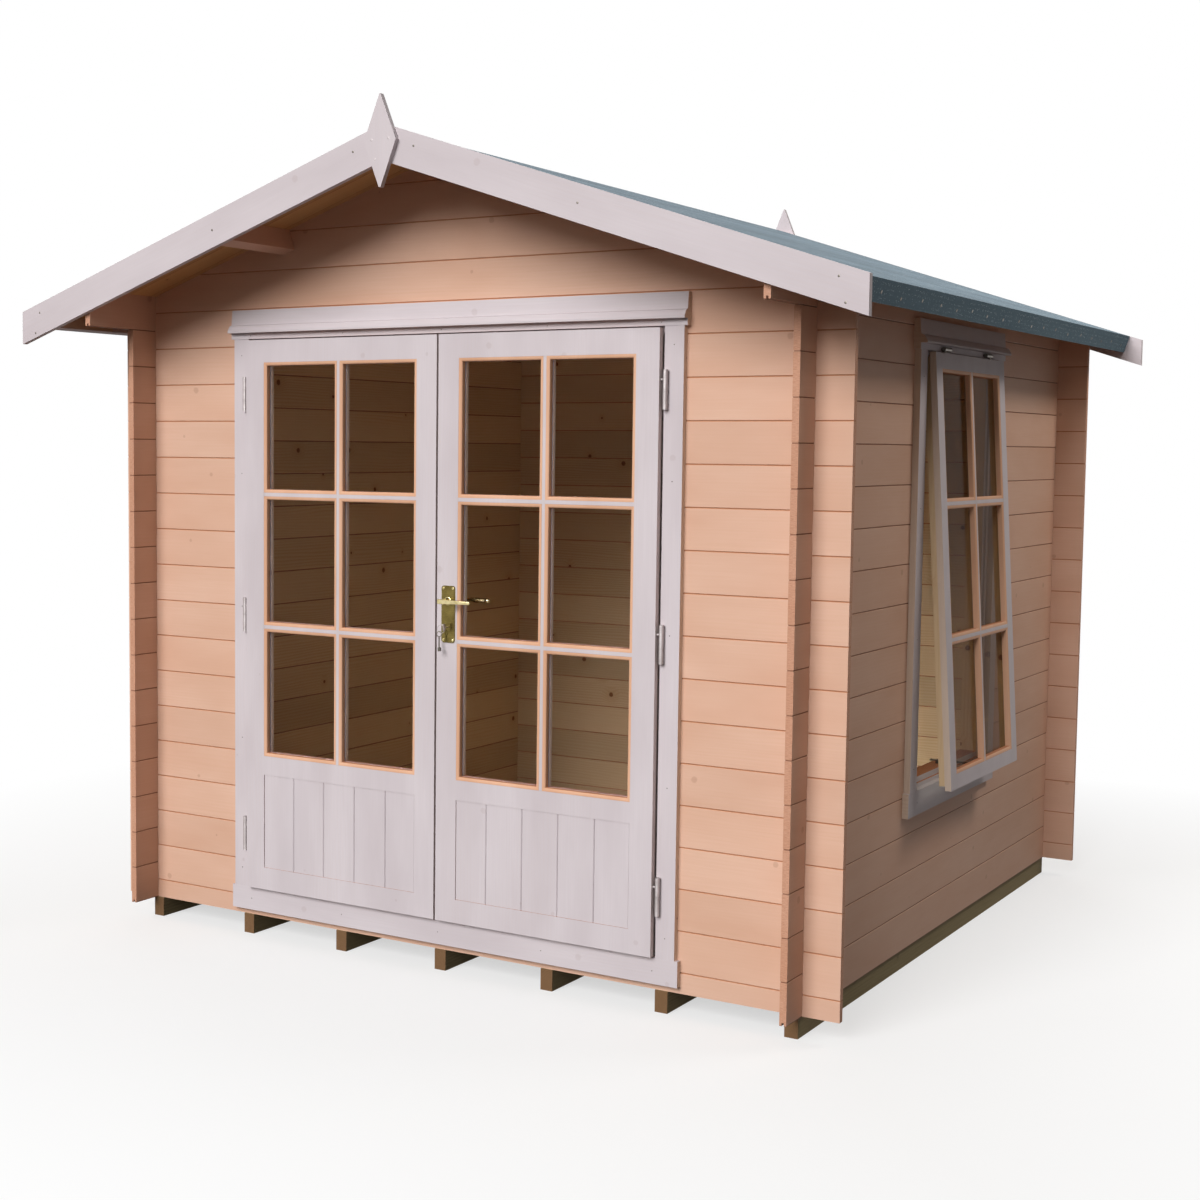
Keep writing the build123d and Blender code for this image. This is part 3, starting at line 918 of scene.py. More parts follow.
@dataclass(frozen=True)
class Metal:
    """Plated or polished metal that has been handled."""

    name: str
    base: Colour
    dull: Colour
    rough: float = 0.3

    def build(self, effects: Effects) -> bpy.types.Material:
        """Wires the finish.

        Args:
            effects: the shared effects.

        Returns:
            The material.
        """
        material, w = new_material(self.name)
        place = w.node("TexCoord").outputs["Object"]
        wear = w.group(effects.handled, {"Place": place}).outputs
        colour = w.blend(w.scale(wear["Smear"], 0.35, 0.7, 0.0, 0.7), self.base, self.dull)
        colour = w.blend(w.times(wear["Speck"], 0.7), colour, self.dull)
        rough = w.scale(wear["Smear"], 0.3, 0.7, self.rough, self.rough + 0.16)
        rough = w.plus(rough, w.times(wear["Scratch"], 0.15))
        bump = w.node("Bump", {"Strength": 0.2, "Distance": 0.0002,
                               "Height": w.plus(wear["Scratch"], wear["Speck"])})
        shader = w.node("BsdfPrincipled", {"Base Color": colour, "Metallic": 1.0,
                                           "Roughness": rough, "Normal": bump.outputs[0]})
        w.node("OutputMaterial", {"Surface": shader.outputs[0]})
        return material


@dataclass(frozen=True)
class Pane:
    """Clear float glass with a trace of dust, through which lamps shine; its tint also darkens
    the cabin's inside seen through it, as painted shade.
    """

    name: str = "pane"
    # the tint is partly the glass's own and partly painted shade on the view inside
    tint_and_inside_shade: Colour = tone(226, 221, 224)
    shadow: Colour = tone(232, 238, 234)

    def build(self, effects: Effects) -> bpy.types.Material:
        """Wires the finish.

        Args:
            effects: the shared effects, of which glass has none.

        Returns:
            The material.
        """
        material, w = new_material(self.name)
        place = w.node("TexCoord").outputs["Object"]
        dust = w.noise(place, 11.0, 4.0, 0.6)
        waviness = w.noise(place, 3.0, 1.0)
        bump = w.node("Bump", {"Strength": 0.02, "Distance": 0.001, "Height": waviness})
        glass = w.node("BsdfPrincipled", {
            "Base Color": self.tint_and_inside_shade, "Roughness": w.scale(dust, 0.4, 0.8, 0.0, 0.06),
            "IOR": 1.04, "Transmission Weight": 1.0, "Normal": bump.outputs[0]})
        clear = w.node("BsdfTransparent", {"Color": self.shadow})
        path = w.node("LightPath")
        both = w.node("MixShader", {0: path.outputs["Is Shadow Ray"], 1: glass.outputs[0],
                                    2: clear.outputs[0]})
        w.node("OutputMaterial", {"Surface": both.outputs[0]})
        return material


@dataclass
class Paintshop:
    """Every finish of the cabin, built once and given out by name."""

    effects: Effects
    walls_inside: float = 1.1085
    leaf_layer_at: float = 1.1275
    lining_layer_at: float = 1.1185
    panel_layer_at: float = 1.1520
    white: Colour = tone(208, 199, 203)
    white_shade: Colour = tone(196, 186, 190)
    made: dict[str, bpy.types.Material] = field(default_factory=dict)

    def finishes(self) -> list[Timber | Felt | Metal | Pane]:
        """Lists the finishes of the cabin.

        Returns:
            One finish for each kind of surface.
        """
        return [*self.log_finishes(), *self.white_finishes(), *self.bare_finishes(), Felt(),
                Metal("plated_steel", tone(184, 176, 176), tone(150, 142, 140), 0.46),
                Metal("dark_steel", tone(120, 114, 106), tone(78, 72, 66), 0.34),
                Metal("polished_brass", tone(226, 212, 164), tone(156, 136, 80), 0.12),
                # the lock plates' brass is a darker copy of the lever's: painted shade for the
                # dark surroundings that the plates reflect
                Metal("shaded_plate_brass", tone(132, 116, 66), tone(84, 72, 36), 0.12),
                Pane(),
                # the window's glass is a much darker copy of the doors' glass: painted shade for
                # the dim inside seen through it
                Pane("shaded_window_pane", tone(168, 150, 134))]

    def log_finishes(self) -> list[Timber]:
        """Lists the logs and purlins, painted outside and bare inside.

        Returns:
            One finish for each way that the logs lie.
        """
        outside = {"cover": Cover.WEATHER_SIDE, "plane_at": self.walls_inside}
        logs = {**outside, "end_paint": 0.72, "board_pitch": LOG_HIGH}
        return [
            Timber("front_logs", board_start=FRONT_JOINTS, **logs),
            # the side logs' joint lines are darker as painted shade in the grooves of the shaded
            # side wall
            Timber("side_logs", board_start=SIDE_JOINTS, end_axis=(0.0, 1.0, 0.0),
                   joint=tone(118, 74, 52), **logs),
            Timber("purlin_beams", run=(0.0, 1.0, 0.0), across=(1.0, 0.0, 1.0),
                   end_axis=(0.0, 1.0, 0.0), **outside),
        ]

    def white_finishes(self) -> list[Timber]:
        """Lists the painted joinery, white apart from the mouldings round the panes.

        Returns:
            One finish for each way that the grain runs and the paint lies.
        """
        slope = (math.cos(ROOF_ANGLE), 0.0, -math.sin(ROOF_ANGLE))
        square = (math.sin(ROOF_ANGLE), 0.0, math.cos(ROOF_ANGLE))
        sash_out = (math.cos(SASH_OPEN), 0.0, math.sin(SASH_OPEN))
        no_end = (0.0, 0.0, 0.0)
        upright = {"run": (0.0, 0.0, 1.0), "across": (1.0, 1.0, 0.0), "end_axis": (0.0, 0.0, 1.0)}
        white = {"coat": self.white, "coat_shade": self.white_shade, "show_through": 0.035}
        return [
            Timber("barge_paint", cover=Cover.WHOLE, mirrored=True, run=slope, across=square,
                   end_axis=no_end, **white),
            Timber("upright_paint", cover=Cover.WHOLE, raw_sides=0.55, knot_share=0.35,
                   **upright, **white),
            Timber("level_paint", cover=Cover.WHOLE, raw_sides=0.55, knot_share=0.35,
                   end_axis=no_end, **white),
            Timber("finial_paint", cover=Cover.WHOLE, **{**upright, "end_axis": no_end}, **white),
            Timber("leaf_paint", cover=Cover.FACE_LAYER, plane_at=self.leaf_layer_at,
                   raw_sides=0.15, knot_share=0.3, **upright, **white),
            Timber("sash_paint", cover=Cover.FACE_LAYER, raw_sides=0.5, knot_share=0.3,
                   plane_along=sash_out, plane_at=self.sash_plane(), **upright, **white),
            Timber("lining_pine", cover=Cover.WEATHER_SIDE, plane_at=self.lining_layer_at,
                   knot_share=0.6, **upright, **white),
            Timber("moulding_paint", cover=Cover.WHOLE, coat=tone(224, 178, 148),
                   coat_shade=tone(210, 160, 128), knot_share=0.1, **upright),
            Timber("panel_paint", cover=Cover.FACE_LAYER, plane_at=self.panel_layer_at,
                   knot_share=0.25, **upright, **white),
        ]

    def bare_finishes(self) -> list[Timber]:
        """Lists the unpainted timber: floor, roof boards and bearers.

        Returns:
            One finish for each.
        """
        crosswise = {"run": (1.0, 0.0, 0.0), "across": (0.0, 1.0, 0.0), "joint_width": 0.0008}
        lengthwise = {"run": (0.0, 1.0, 0.0), "across": (1.0, 0.0, 1.0)}
        floor_low, floor_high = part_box("floor_boards")
        roof_low, roof_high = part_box("roof_boards_right")
        return [
            Timber("floor_pine", board_pitch=(floor_high.y - floor_low.y) / FLOOR_BOARDS,
                   board_start=floor_low.y, **crosswise),
            Timber("roof_pine", depth=(0.0, 0.0, 1.0), end_axis=(0.0, 0.0, 0.0),
                   pale=tone(204, 158, 106), dark=tone(178, 124, 74),
                   board_pitch=(roof_high.y - roof_low.y) / ROOF_BOARDS,
                   board_start=roof_low.y, **crosswise),
            Timber("treated_timber", end_axis=(0.0, 1.0, 0.0), pale=tone(146, 130, 96),
                   dark=tone(108, 92, 64), knot=tone(70, 52, 36), end_pale=tone(138, 104, 70),
                   end_dark=tone(96, 68, 44), end_saw=tone(60, 44, 30), rough=0.78,
                   relief=0.8, **lengthwise),
        ]

    @staticmethod
    def sash_plane() -> float:
        """Where the sash's painted layer ends, along the sash's own outward direction."""
        joint = sash_turn() @ Vector((0.0, LEAF_FRONT + LEAF_LAYER, 1.2))
        return joint.x * math.cos(SASH_OPEN) + joint.z * math.sin(SASH_OPEN)

    def open(self) -> None:
        """Builds every finish."""
        for finish in self.finishes():
            self.made[finish.name] = finish.build(self.effects)
            LOG.info("finish %s", finish.name)

    def coat(self, piece: bpy.types.Object, name: str) -> None:
        """Puts one finish on the whole of a piece.

        Args:
            piece: the piece.
            name: the finish's name.
        """
        if piece.data.materials:
            for place in range(len(piece.data.materials)):
                piece.data.materials[place] = self.made[name]
        else:
            piece.data.materials.append(self.made[name])


# sub-assemblies


@dataclass
class Joiner:
    """Gives finished pieces to the cabin."""

    shop: Paintshop

    def fit(self, piece: bpy.types.Object, body: str, finish: str,
            replaces: Sequence[str] = ()) -> None:
        """Finishes a piece and lets it ride on its body.

        Args:
            piece: the piece.
            body: what it moves with.
            finish: name of its finish.
            replaces: CAD nodes that it stands for.
        """
        self.shop.coat(piece, finish)
        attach(piece, body)
        if replaces:
            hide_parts(*replaces)
        LOG.info("%s on %s, %d faces", piece.name, body, len(piece.data.polygons))


@dataclass
class Glazing:
    """The bars and mouldings of one glazed opening, set out on the front wall."""

    name: str
    body: str
    left: float
    right: float
    low: float
    high: float
    placing: Matrix = field(default_factory=lambda: Matrix.Identity(4))
    front: float = LEAF_FRONT + 0.0004
    upright_flat: float = 0.010
    level_flat: float = 0.011
    moulding: float = 0.010
    fall: float = 0.005
    arc_steps: int = 4
    play: float = 0.0001
    glass_play: float = 0.0003
    flat_ease: float = 0.0003
    columns: int = 2
    rows: int = 3
    inner_rings: bool = True
    inner_depth: float = 0.0

    def cell(self) -> tuple[float, float]:
        """Works out the space between two flats.

        Returns:
            Its width and height.
        """
        wide = (self.right - self.left - (self.columns - 1) * self.upright_flat) / self.columns
        tall = (self.high - self.low - (self.rows - 1) * self.level_flat) / self.rows
        return wide, tall

    def glass_front(self) -> float:
        """Depth at which the mouldings meet the glass."""
        return LEAF_MIDDLE - GLASS_THICK / 2 - self.glass_play

    def moulding_ring(self) -> bpy.types.Object:
        """Works one mitred ring of rounded moulding at the origin.

        Returns:
            The ring, its front at the leaf's face and its back on the glass.
        """
        wide, tall = self.cell()
        clear_choice()
        bpy.ops.mesh.primitive_plane_add(size=1, location=(0, 0, 0),
                                         rotation=(math.pi / 2, 0, 0))
        ring = bpy.context.object
        ring.scale = (wide - 4 * self.play, tall - 4 * self.play, 1)
        settle(ring)
        pick_faces(ring, lambda centre, normal: True)
        arc = [math.pi / 2 * step / self.arc_steps for step in range(self.arc_steps + 1)]
        for before, after in zip(arc, arc[1:]):
            across = self.moulding * (math.sin(after) - math.sin(before))
            down = self.fall * (math.cos(before) - math.cos(after))
            bpy.ops.mesh.inset(thickness=across, depth=-down)
        bpy.ops.mesh.extrude_region_move(TRANSFORM_OT_translate={
            "value": (0, self.glass_front() - self.front - self.fall, 0)})
        bpy.ops.mesh.delete(type="FACE")
        bpy.ops.mesh.select_mode(type="EDGE")
        close_edit()
        outer = wide / 2 - 0.0012
        pick_points(ring, lambda place: abs(place.x) > outer and abs(place.y) < self.play)
        bpy.ops.mesh.select_mode(type="EDGE")
        bpy.ops.mesh.extrude_region_move(TRANSFORM_OT_translate={
            "value": (0, self.glass_front() - self.front, 0)})
        bpy.ops.mesh.select_all(action="DESELECT")
        bpy.ops.mesh.select_non_manifold()
        bpy.ops.mesh.bridge_edge_loops()
        bpy.ops.mesh.select_all(action="SELECT")
        bpy.ops.mesh.normals_make_consistent(inside=False)
        close_edit()
        return ring

    def mouldings(self) -> tuple[list[bpy.types.Object], list[bpy.types.Object]]:
        """Copies the ring of moulding to every pane.

        Returns:
            The rings outside and the rings inside.
        """
        wide, tall = self.cell()
        first = self.moulding_ring()
        outside = []
        inside = []
        for column in range(self.columns):
            for row in range(self.rows):
                x = self.left + wide / 2 + column * (wide + self.upright_flat)
                z = self.low + tall / 2 + row * (tall + self.level_flat)
                there = Matrix.Translation((x, self.front, z))
                outside.append(copy_piece(first, self.placing @ there))
                if self.inner_rings:
                    inside.append(copy_piece(first, self.placing @ through_leaf() @ there))
        bpy.data.objects.remove(first)
        return outside, inside

    def flats(self) -> list[bpy.types.Object]:
        """Cuts the narrow flats between the mouldings, outside and inside.

        Returns:
            The flats, in their places.
        """
        tall = self.cell()[1]
        centre = (self.left + self.right) / 2
        half = self.upright_flat / 2
        made = []
        behind = 2 * LEAF_MIDDLE - self.glass_front()
        inner = behind + self.inner_depth if self.inner_depth else 2 * LEAF_MIDDLE - self.front
        for near, far in ((self.front, self.glass_front()), (behind, inner)):
            made.append(cut_board("flat", (centre - half, near, self.low + self.play),
                                  (centre + half, far, self.high - self.play),
                                  self.flat_ease))
            for row in range(1, self.rows):
                low = self.low + row * (tall + self.level_flat) - self.level_flat
                for start, stop in ((self.left + self.play, centre - half),
                                    (centre + half, self.right - self.play)):
                    made.append(cut_board("flat", (start, near, low),
                                          (stop, far, low + self.level_flat),
                                          self.flat_ease))
        for flat in made:
            flat.data.transform(self.placing)
        return made

    def build(self, joiner: Joiner) -> None:
        """Makes, joins and fits the bars and mouldings.

        Args:
            joiner: who fits them.
        """
        for rings, side, finish in zip(self.mouldings(), ("outer", "inner"),
                                       ("moulding_paint", "upright_paint")):
            if not rings:
                continue
            whole = join_pieces(rings, f"{self.name}_{side}_mouldings")
            smooth(whole, 25)
            joiner.fit(whole, self.body, finish)
        flats = join_pieces(self.flats(), self.name + "_bars")
        joiner.fit(flats, self.body, "upright_paint")


@dataclass
class LeafPanel:
    """The tongued boards in the lower part of a door leaf."""

    name: str
    body: str
    node: str
    left: float
    right: float
    joints: tuple[float, ...]
    play: float = 0.0003
    low: float = 0.2263
    high: float = 0.5147
    front: float = LEAF_FRONT + 0.0015
    back: float = LEAF_FRONT + 0.0135
    vee: float = 0.0020
    gap: float = 0.0008

    def build(self, joiner: Joiner) -> None:
        """Makes the boards side by side and fits them as one panel.

        Args:
            joiner: who fits it.
        """
        first = self.left + self.play
        last = self.right - self.play
        edges = [first, *self.joints, last]
        boards = []
        for start, stop in zip(edges, edges[1:]):
            near = start if start == first else start + self.gap / 2
            far = stop if stop == last else stop - self.gap / 2
            board = cut_board("board", (near, self.front, self.low),
                              (far, self.back, self.high), 0)
            pick_edges(board, lambda foot, top: abs(foot.z - top.z) > 0.05)
            bpy.ops.mesh.bevel(offset=self.vee, segments=1)
            close_edit()
            boards.append(board)
        panel = join_pieces(boards, self.name)
        joiner.fit(panel, self.body, "panel_paint", (self.node,))


@dataclass
class Boarding:
    """Rows of tongued boards that line the roof slopes and the floor."""

    floor_count: int = FLOOR_BOARDS
    roof_count: int = ROOF_BOARDS
    vee: float = 0.002

    def row(self, first: bpy.types.Object, count: int, pitch: float) -> bpy.types.Object:
        """Lays a row of copies of one board along +Y.

        Args:
            first: the first board.
            count: boards in the row.
            pitch: from one board to the next.

        Returns:
            The row, as one piece.
        """
        choose([first])
        lay = first.modifiers.new("row", "ARRAY")
        lay.count = count
        lay.use_relative_offset = False
        lay.use_constant_offset = True
        lay.constant_offset_displace = (0, pitch, 0)
        bpy.ops.object.modifier_apply(modifier=lay.name)
        return first

    def floor(self, joiner: Joiner) -> None:
        """Lays the floor boards.

        Args:
            joiner: who fits them.
        """
        low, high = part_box("floor_boards")
        pitch = (high.y - low.y) / self.floor_count
        board = cut_board("floorboards", low, (high.x, low.y + pitch, high.z), self.vee / 2)
        joiner.fit(self.row(board, self.floor_count, pitch), "cabin", "floor_pine",
                   ("floor_boards",))

    def slope(self, joiner: Joiner, node: str, sign: int) -> None:
        """Lays one slope's boards from ridge to eaves.

        Args:
            joiner: who fits them.
            node: the CAD slope that they stand for.
            sign: 1 for the right-hand slope, -1 for the left.
        """
        low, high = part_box(node)
        pitch = (high.y - low.y) / self.roof_count
        reach = max(-low.x, high.x)
        rise = reach * math.tan(ROOF_ANGLE)
        thick = (high.z - low.z - rise) / math.cos(ROOF_ANGLE)
        plumb = thick / math.cos(ROOF_ANGLE)
        board = cut_board(node + "_laid", (0, low.y, high.z - plumb),
                          (reach, low.y + pitch, high.z), 0)
        pick_points(board, lambda place: place.x > reach / 2)
        bpy.ops.transform.translate(value=(0, 0, -rise))
        close_edit()
        middle = high.z - rise - plumb / 2
        inward = thick * math.sin(ROOF_ANGLE)
        pick_points(board, lambda place: place.x > reach / 2 and place.z < middle)
        bpy.ops.transform.translate(value=(-inward, 0, inward * math.tan(ROOF_ANGLE)))
        close_edit()
        ease_edges(board, self.vee / 2, 1)
        if sign < 0:
            board.data.transform(Matrix.Scale(-1, 4, (1, 0, 0)))
            board.data.flip_normals()
        joiner.fit(self.row(board, self.roof_count, pitch), "cabin", "roof_pine",
                   (node,))

    def build(self, joiner: Joiner) -> None:
        """Lays the floor and both slopes.

        Args:
            joiner: who fits them.
        """
        self.floor(joiner)
        self.slope(joiner, "roof_boards_right", 1)
        self.slope(joiner, "roof_boards_left", -1)


@dataclass
class Fixings:
    """Nails and screws, each head modelled once and copied."""

    nail_radius: float = 0.0032
    trim_radius: float = 0.0016
    clout_radius: float = 0.0048
    screw_radius: float = 0.0042
    sunk: float = 0.0006
    barge_places: tuple[tuple[float, float], ...] = (
        (1.304, 1.930), (0.604, 2.143), (1.322, 1.868), (0.100, 2.325))
    finial_places: tuple[tuple[float, float], ...] = (
        (-0.027, 2.348), (0.028, 2.350), (-0.016, 2.296))
    door_aside: float = 0.737
    door_heights: tuple[float, ...] = (0.21, 0.62, 1.03, 1.44, 1.80)
    door_across: tuple[float, ...] = (-0.70, -0.35, 0.0, 0.35, 0.70)
    door_sill_z: float = 0.116
    crown_z: float = 1.8592
    window_aside: float = 0.367
    window_heights: tuple[float, ...] = (0.60, 0.98, 1.36, 1.74)
    window_across: tuple[float, ...] = (-0.33, 0.0, 0.33)
    window_sill_z: float = 0.495

    def head(self, radius: float, drive: bool) -> bpy.types.Object:
        """Turns a low round head that faces -Y at the origin.

        Args:
            radius: the head's radius.
            drive: whether it is a screw's, with a recess.

        Returns:
            The head.
        """
        head = turn_bar("head", (0, 0.0008, 0), radius, 0.0024, Axis.Y, 12)
        pick_faces(head, lambda centre, normal: normal.y < -0.9)
        bpy.ops.mesh.inset(thickness=radius * 0.22, depth=0.0003)
        if drive:
            bpy.ops.mesh.inset(thickness=radius * 0.38, depth=0)
            bpy.ops.mesh.inset(thickness=radius * 0.08, depth=-0.0009)
        close_edit()
        return head

    def spread(self, head: bpy.types.Object, places: Iterable[Matrix],
               name: str) -> bpy.types.Object:
        """Copies a head to many places and joins the copies.

        Args:
            head: the head, which is used up.
            places: where its copies go.
            name: what the whole is called.

        Returns:
            The copies, as one piece.
        """
        heads = [copy_piece(head, place) for place in places]
        bpy.data.objects.remove(head)
        whole = join_pieces(heads, name)
        smooth(whole)
        return whole

    def build(self, joiner: Joiner) -> None:
        """Drives every nail and screw that the cabin shows.

        Args:
            joiner: who fits them.
        """
        self.gable_fixings(joiner)
        self.trim_nails(joiner)
        self.felt_nails(joiner)

    def gable_fixings(self, joiner: Joiner) -> None:
        """Nails the bargeboards and screws the finials on, front and rear.

        Args:
            joiner: who fits the nails and screws.
        """
        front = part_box("front_bargeboards")[0].y
        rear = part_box("rear_bargeboards")[1].y
        back = Matrix.Rotation(math.pi, 4, "Z")
        barge = []
        for x, z in self.barge_places:
            for sign in (-1, 1):
                barge.append(Matrix.Translation((sign * x, front, z)))
                barge.append(back @ Matrix.Translation((sign * x, -rear, z)))
        nails = self.spread(self.head(self.nail_radius, False), barge, "bargeboard_nails")
        joiner.fit(nails, "cabin", "dark_steel")

        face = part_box("finials")
        tips = []
        for x, z in self.finial_places:
            tips.append(Matrix.Translation((x, face[0].y + self.sunk, z)))
            tips.append(back @ Matrix.Translation((-x, self.sunk - face[1].y, z)))
        screws = self.spread(self.head(self.screw_radius, True), tips, "finial_screws")
        joiner.fit(screws, "cabin", "plated_steel")

    def trim_nails(self, joiner: Joiner) -> None:
        """Nails the architraves, the door's crown and the sill trims.

        Args:
            joiner: who fits the nails.
        """
        trim = -WALL - TRIM_THICK
        crown = -WALL - CROWN_THICK
        at_door = []
        at_window = []
        for sign in (-1, 1):
            at_door += [(sign * self.door_aside, trim, z) for z in self.door_heights]
            at_window += [(sign * self.window_aside, trim, z) for z in self.window_heights]
        for x in self.door_across:
            at_door += [(x, trim, self.door_sill_z), (x, crown, self.crown_z)]
        at_window += [(x, trim, self.window_sill_z) for x in self.window_across]
        places = [Matrix.Translation(place) for place in at_door]
        places += [to_right_wall() @ Matrix.Translation(place) for place in at_window]
        nails = self.spread(self.head(self.trim_radius, False), places, "trim_nails")
        joiner.fit(nails, "cabin", "dark_steel")

    def felt_nails(self, joiner: Joiner, count: int = 19, run: float = 1.4031,
                   lift: float = -0.014) -> None:
        """Drives clout nails along the turned-down edges of the felt.

        Args:
            joiner: who fits them.
            count: nails on each edge.
            run: distance down the slope from the ridge to the felt's edge.
            lift: height of the nails off the boards' underside, square to the slope.
        """
        low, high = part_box("roof_felt")
        margin = 0.07
        places = []
        for number in range(count):
            y = low.y + margin + (high.y - low.y - 2 * margin) * number / (count - 1)
            y += 0.012 * math.sin(number * 5.1)
            rise = lift + 0.004 * math.sin(number * 2.3)
            x = run * math.cos(ROOF_ANGLE) + rise * math.sin(ROOF_ANGLE)
            z = RIDGE_UNDERSIDE - run * math.sin(ROOF_ANGLE) + rise * math.cos(ROOF_ANGLE)
            for sign in (-1, 1):
                places.append(Matrix.Translation((sign * x, y, z))
                              @ Matrix.Rotation(sign * ROOF_ANGLE, 4, "Y")
                              @ Matrix.Rotation(sign * math.pi / 2, 4, "Z"))
        nails = self.spread(self.head(self.clout_radius, False), places, "felt_nails")
        joiner.fit(nails, "cabin", "dark_steel")


@dataclass
class LeverSet:
    """The brass lever on both faces of the door, its plates' screws, and the keys."""

    x: float = 0.04325
    z: float = 1.088
    lock_z: float = 1.014
    plate_low: float = 0.969
    plate_high: float = 1.132
    plate_thick: float = 0.003
    screw_in: float = 0.0075
    screw_aside: float = 0.016
    grip_stand: float = 0.026
    neck_past: float = 0.004
    neck_radius: float = 0.0078
    neck_profile: tuple[tuple[float, float], ...] = (
        (0, 0), (0, 0.0078), (0.008, 0.0078), (0.013, 0.0062), (0.022, 0.0062), (0.026, 0.0078))
    grip_profile: tuple[tuple[float, float], ...] = (
        (0, 0), (0, 0.005), (0.003, 0.0075), (0.012, 0.0075), (0.020, 0.0052),
        (0.034, 0.0050), (0.040, 0.0066), (0.058, 0.0079), (0.078, 0.0074),
        (0.089, 0.0060), (0.0915, 0.0060), (0.093, 0.0072), (0.098, 0.0072),
        (0.102, 0.0050), (0.1032, 0.0))

    def outer_grip(self) -> bpy.types.Object:
        """Shapes the flat bar outside the door, tapered towards its free end.

        Returns:
            The bar, with its edges rounded.
        """
        y = LEAF_FRONT - self.grip_stand
        grip = cut_board("grip", (self.x - 0.0168, y - 0.0105, self.z - 0.0072),
                         (self.x + 0.0925, y - 0.0005, self.z + 0.0072), 0)
        pick_faces(grip, lambda centre, normal: normal.x > 0.9)
        bpy.ops.transform.resize(value=(1, 0.85, 0.66))
        close_edit()
        ease_edges(grip, 0.0028, 4)
        return grip

    def turned(self, name: str, outline: Sequence[tuple[float, float]], origin: Point,
               axis: Axis) -> bpy.types.Object:
        """Spins an outline of (distance along, radius) into a closed turned part.

        Args:
            name: what the part is called.
            outline: points from one end to the other, both ends on the axis.
            origin: where distance 0 lies.
            axis: the direction that it runs along, X or Y.

        Returns:
            The turned part.
        """
        clear_choice()
        bpy.ops.mesh.primitive_plane_add(size=0.001, location=(0, 0, 0))
        part = bpy.context.object
        part.name = name
        bpy.ops.object.mode_set(mode="EDIT")
        bpy.ops.mesh.select_mode(type="VERT")
        bpy.ops.mesh.merge(type="CENTER")
        for (along, radius), (next_along, next_radius) in zip(outline, outline[1:]):
            bpy.ops.mesh.extrude_vertices_move(TRANSFORM_OT_translate={
                "value": (next_along - along, 0, next_radius - radius)})
        bpy.ops.mesh.select_all(action="SELECT")
        bpy.ops.mesh.spin(steps=24, angle=2 * math.pi, center=(0, 0, 0), axis=(1, 0, 0))
        bpy.ops.mesh.select_all(action="SELECT")
        bpy.ops.mesh.remove_doubles(threshold=0.00001)
        bpy.ops.mesh.normals_make_consistent(inside=False)
        close_edit()
        turn = Matrix.Identity(4) if axis is Axis.X else Matrix.Rotation(math.pi / 2, 4, "Z")
        part.data.transform(Matrix.Translation(origin) @ turn)
        return part

    def levers(self, joiner: Joiner) -> None:
        """Makes both grips and their neck as one moving piece.

        Args:
            joiner: who fits them.
        """
        neck_start = LEAF_FRONT - self.grip_stand - self.neck_past
        neck_end = LEAF_BACK + self.grip_stand + self.neck_past
        long = neck_end - neck_start
        neck_line = [*self.neck_profile, (long / 2, self.neck_radius)]
        neck_line += [(long - along, radius) for along, radius in reversed(self.neck_profile)]
        neck = self.turned("neck", neck_line, (self.x, neck_start, self.z), Axis.Y)
        grip_y = LEAF_BACK + self.grip_stand + 0.006
        inner = self.turned("inner_grip", self.grip_profile, (self.x - 0.0105, grip_y, self.z),
                            Axis.X)
        lever = join_pieces([neck, inner, self.outer_grip()], "levers")
        smooth(lever, 40)
        joiner.fit(lever, "lever", "polished_brass", ("lever_handles",))

    def plate_trim(self, joiner: Joiner) -> None:
        """Makes four screws for each plate and the collar round each neck.

        Args:
            joiner: who fits them.
        """
        back = through_leaf()
        outer = LEAF_FRONT - self.plate_thick
        places = []
        for aside in (-self.screw_aside, self.screw_aside):
            for z in (self.plate_high - self.screw_in, self.plate_low + self.screw_in):
                spot = Matrix.Translation((self.x + aside, outer, z))
                places += [spot, back @ spot]
        fixings = Fixings()
        screws = fixings.spread(fixings.head(0.0034, True), places, "plate_screws")
        joiner.fit(screws, "right_leaf", "polished_brass")
        collar = turn_ring("collar", (self.x, outer - 0.0012, self.z), 0.0104, 0.0019, 32)
        collars = join_pieces([collar, copy_piece(collar, back)], "plate_collars")
        joiner.fit(collars, "right_leaf", "polished_brass")

    def lock_key(self, joiner: Joiner) -> None:
        """Makes the key in the lock and the ring through it.

        Args:
            joiner: who fits them.
        """
        x, y, z = self.x, LEAF_FRONT - self.plate_thick, self.lock_z
        stem = turn_bar("stem", (x, y - 0.006, z), 0.0022, 0.014, Axis.Y, 14)
        bow = cut_board("bow", (x - 0.0011, y - 0.0250, z - 0.010),
                        (x + 0.0011, y - 0.0125, z + 0.010), 0.0009, 2)
        key = join_pieces([stem, bow], "lock_key")
        smooth(key)
        joiner.fit(key, "right_leaf", "plated_steel")
        ring = turn_ring("key_ring", (x - 0.0105, y - 0.0185, z - 0.0050), 0.0118, 0.0008, 36,
                         0.12)
        smooth(ring, 60)
        joiner.fit(ring, "right_leaf", "plated_steel")

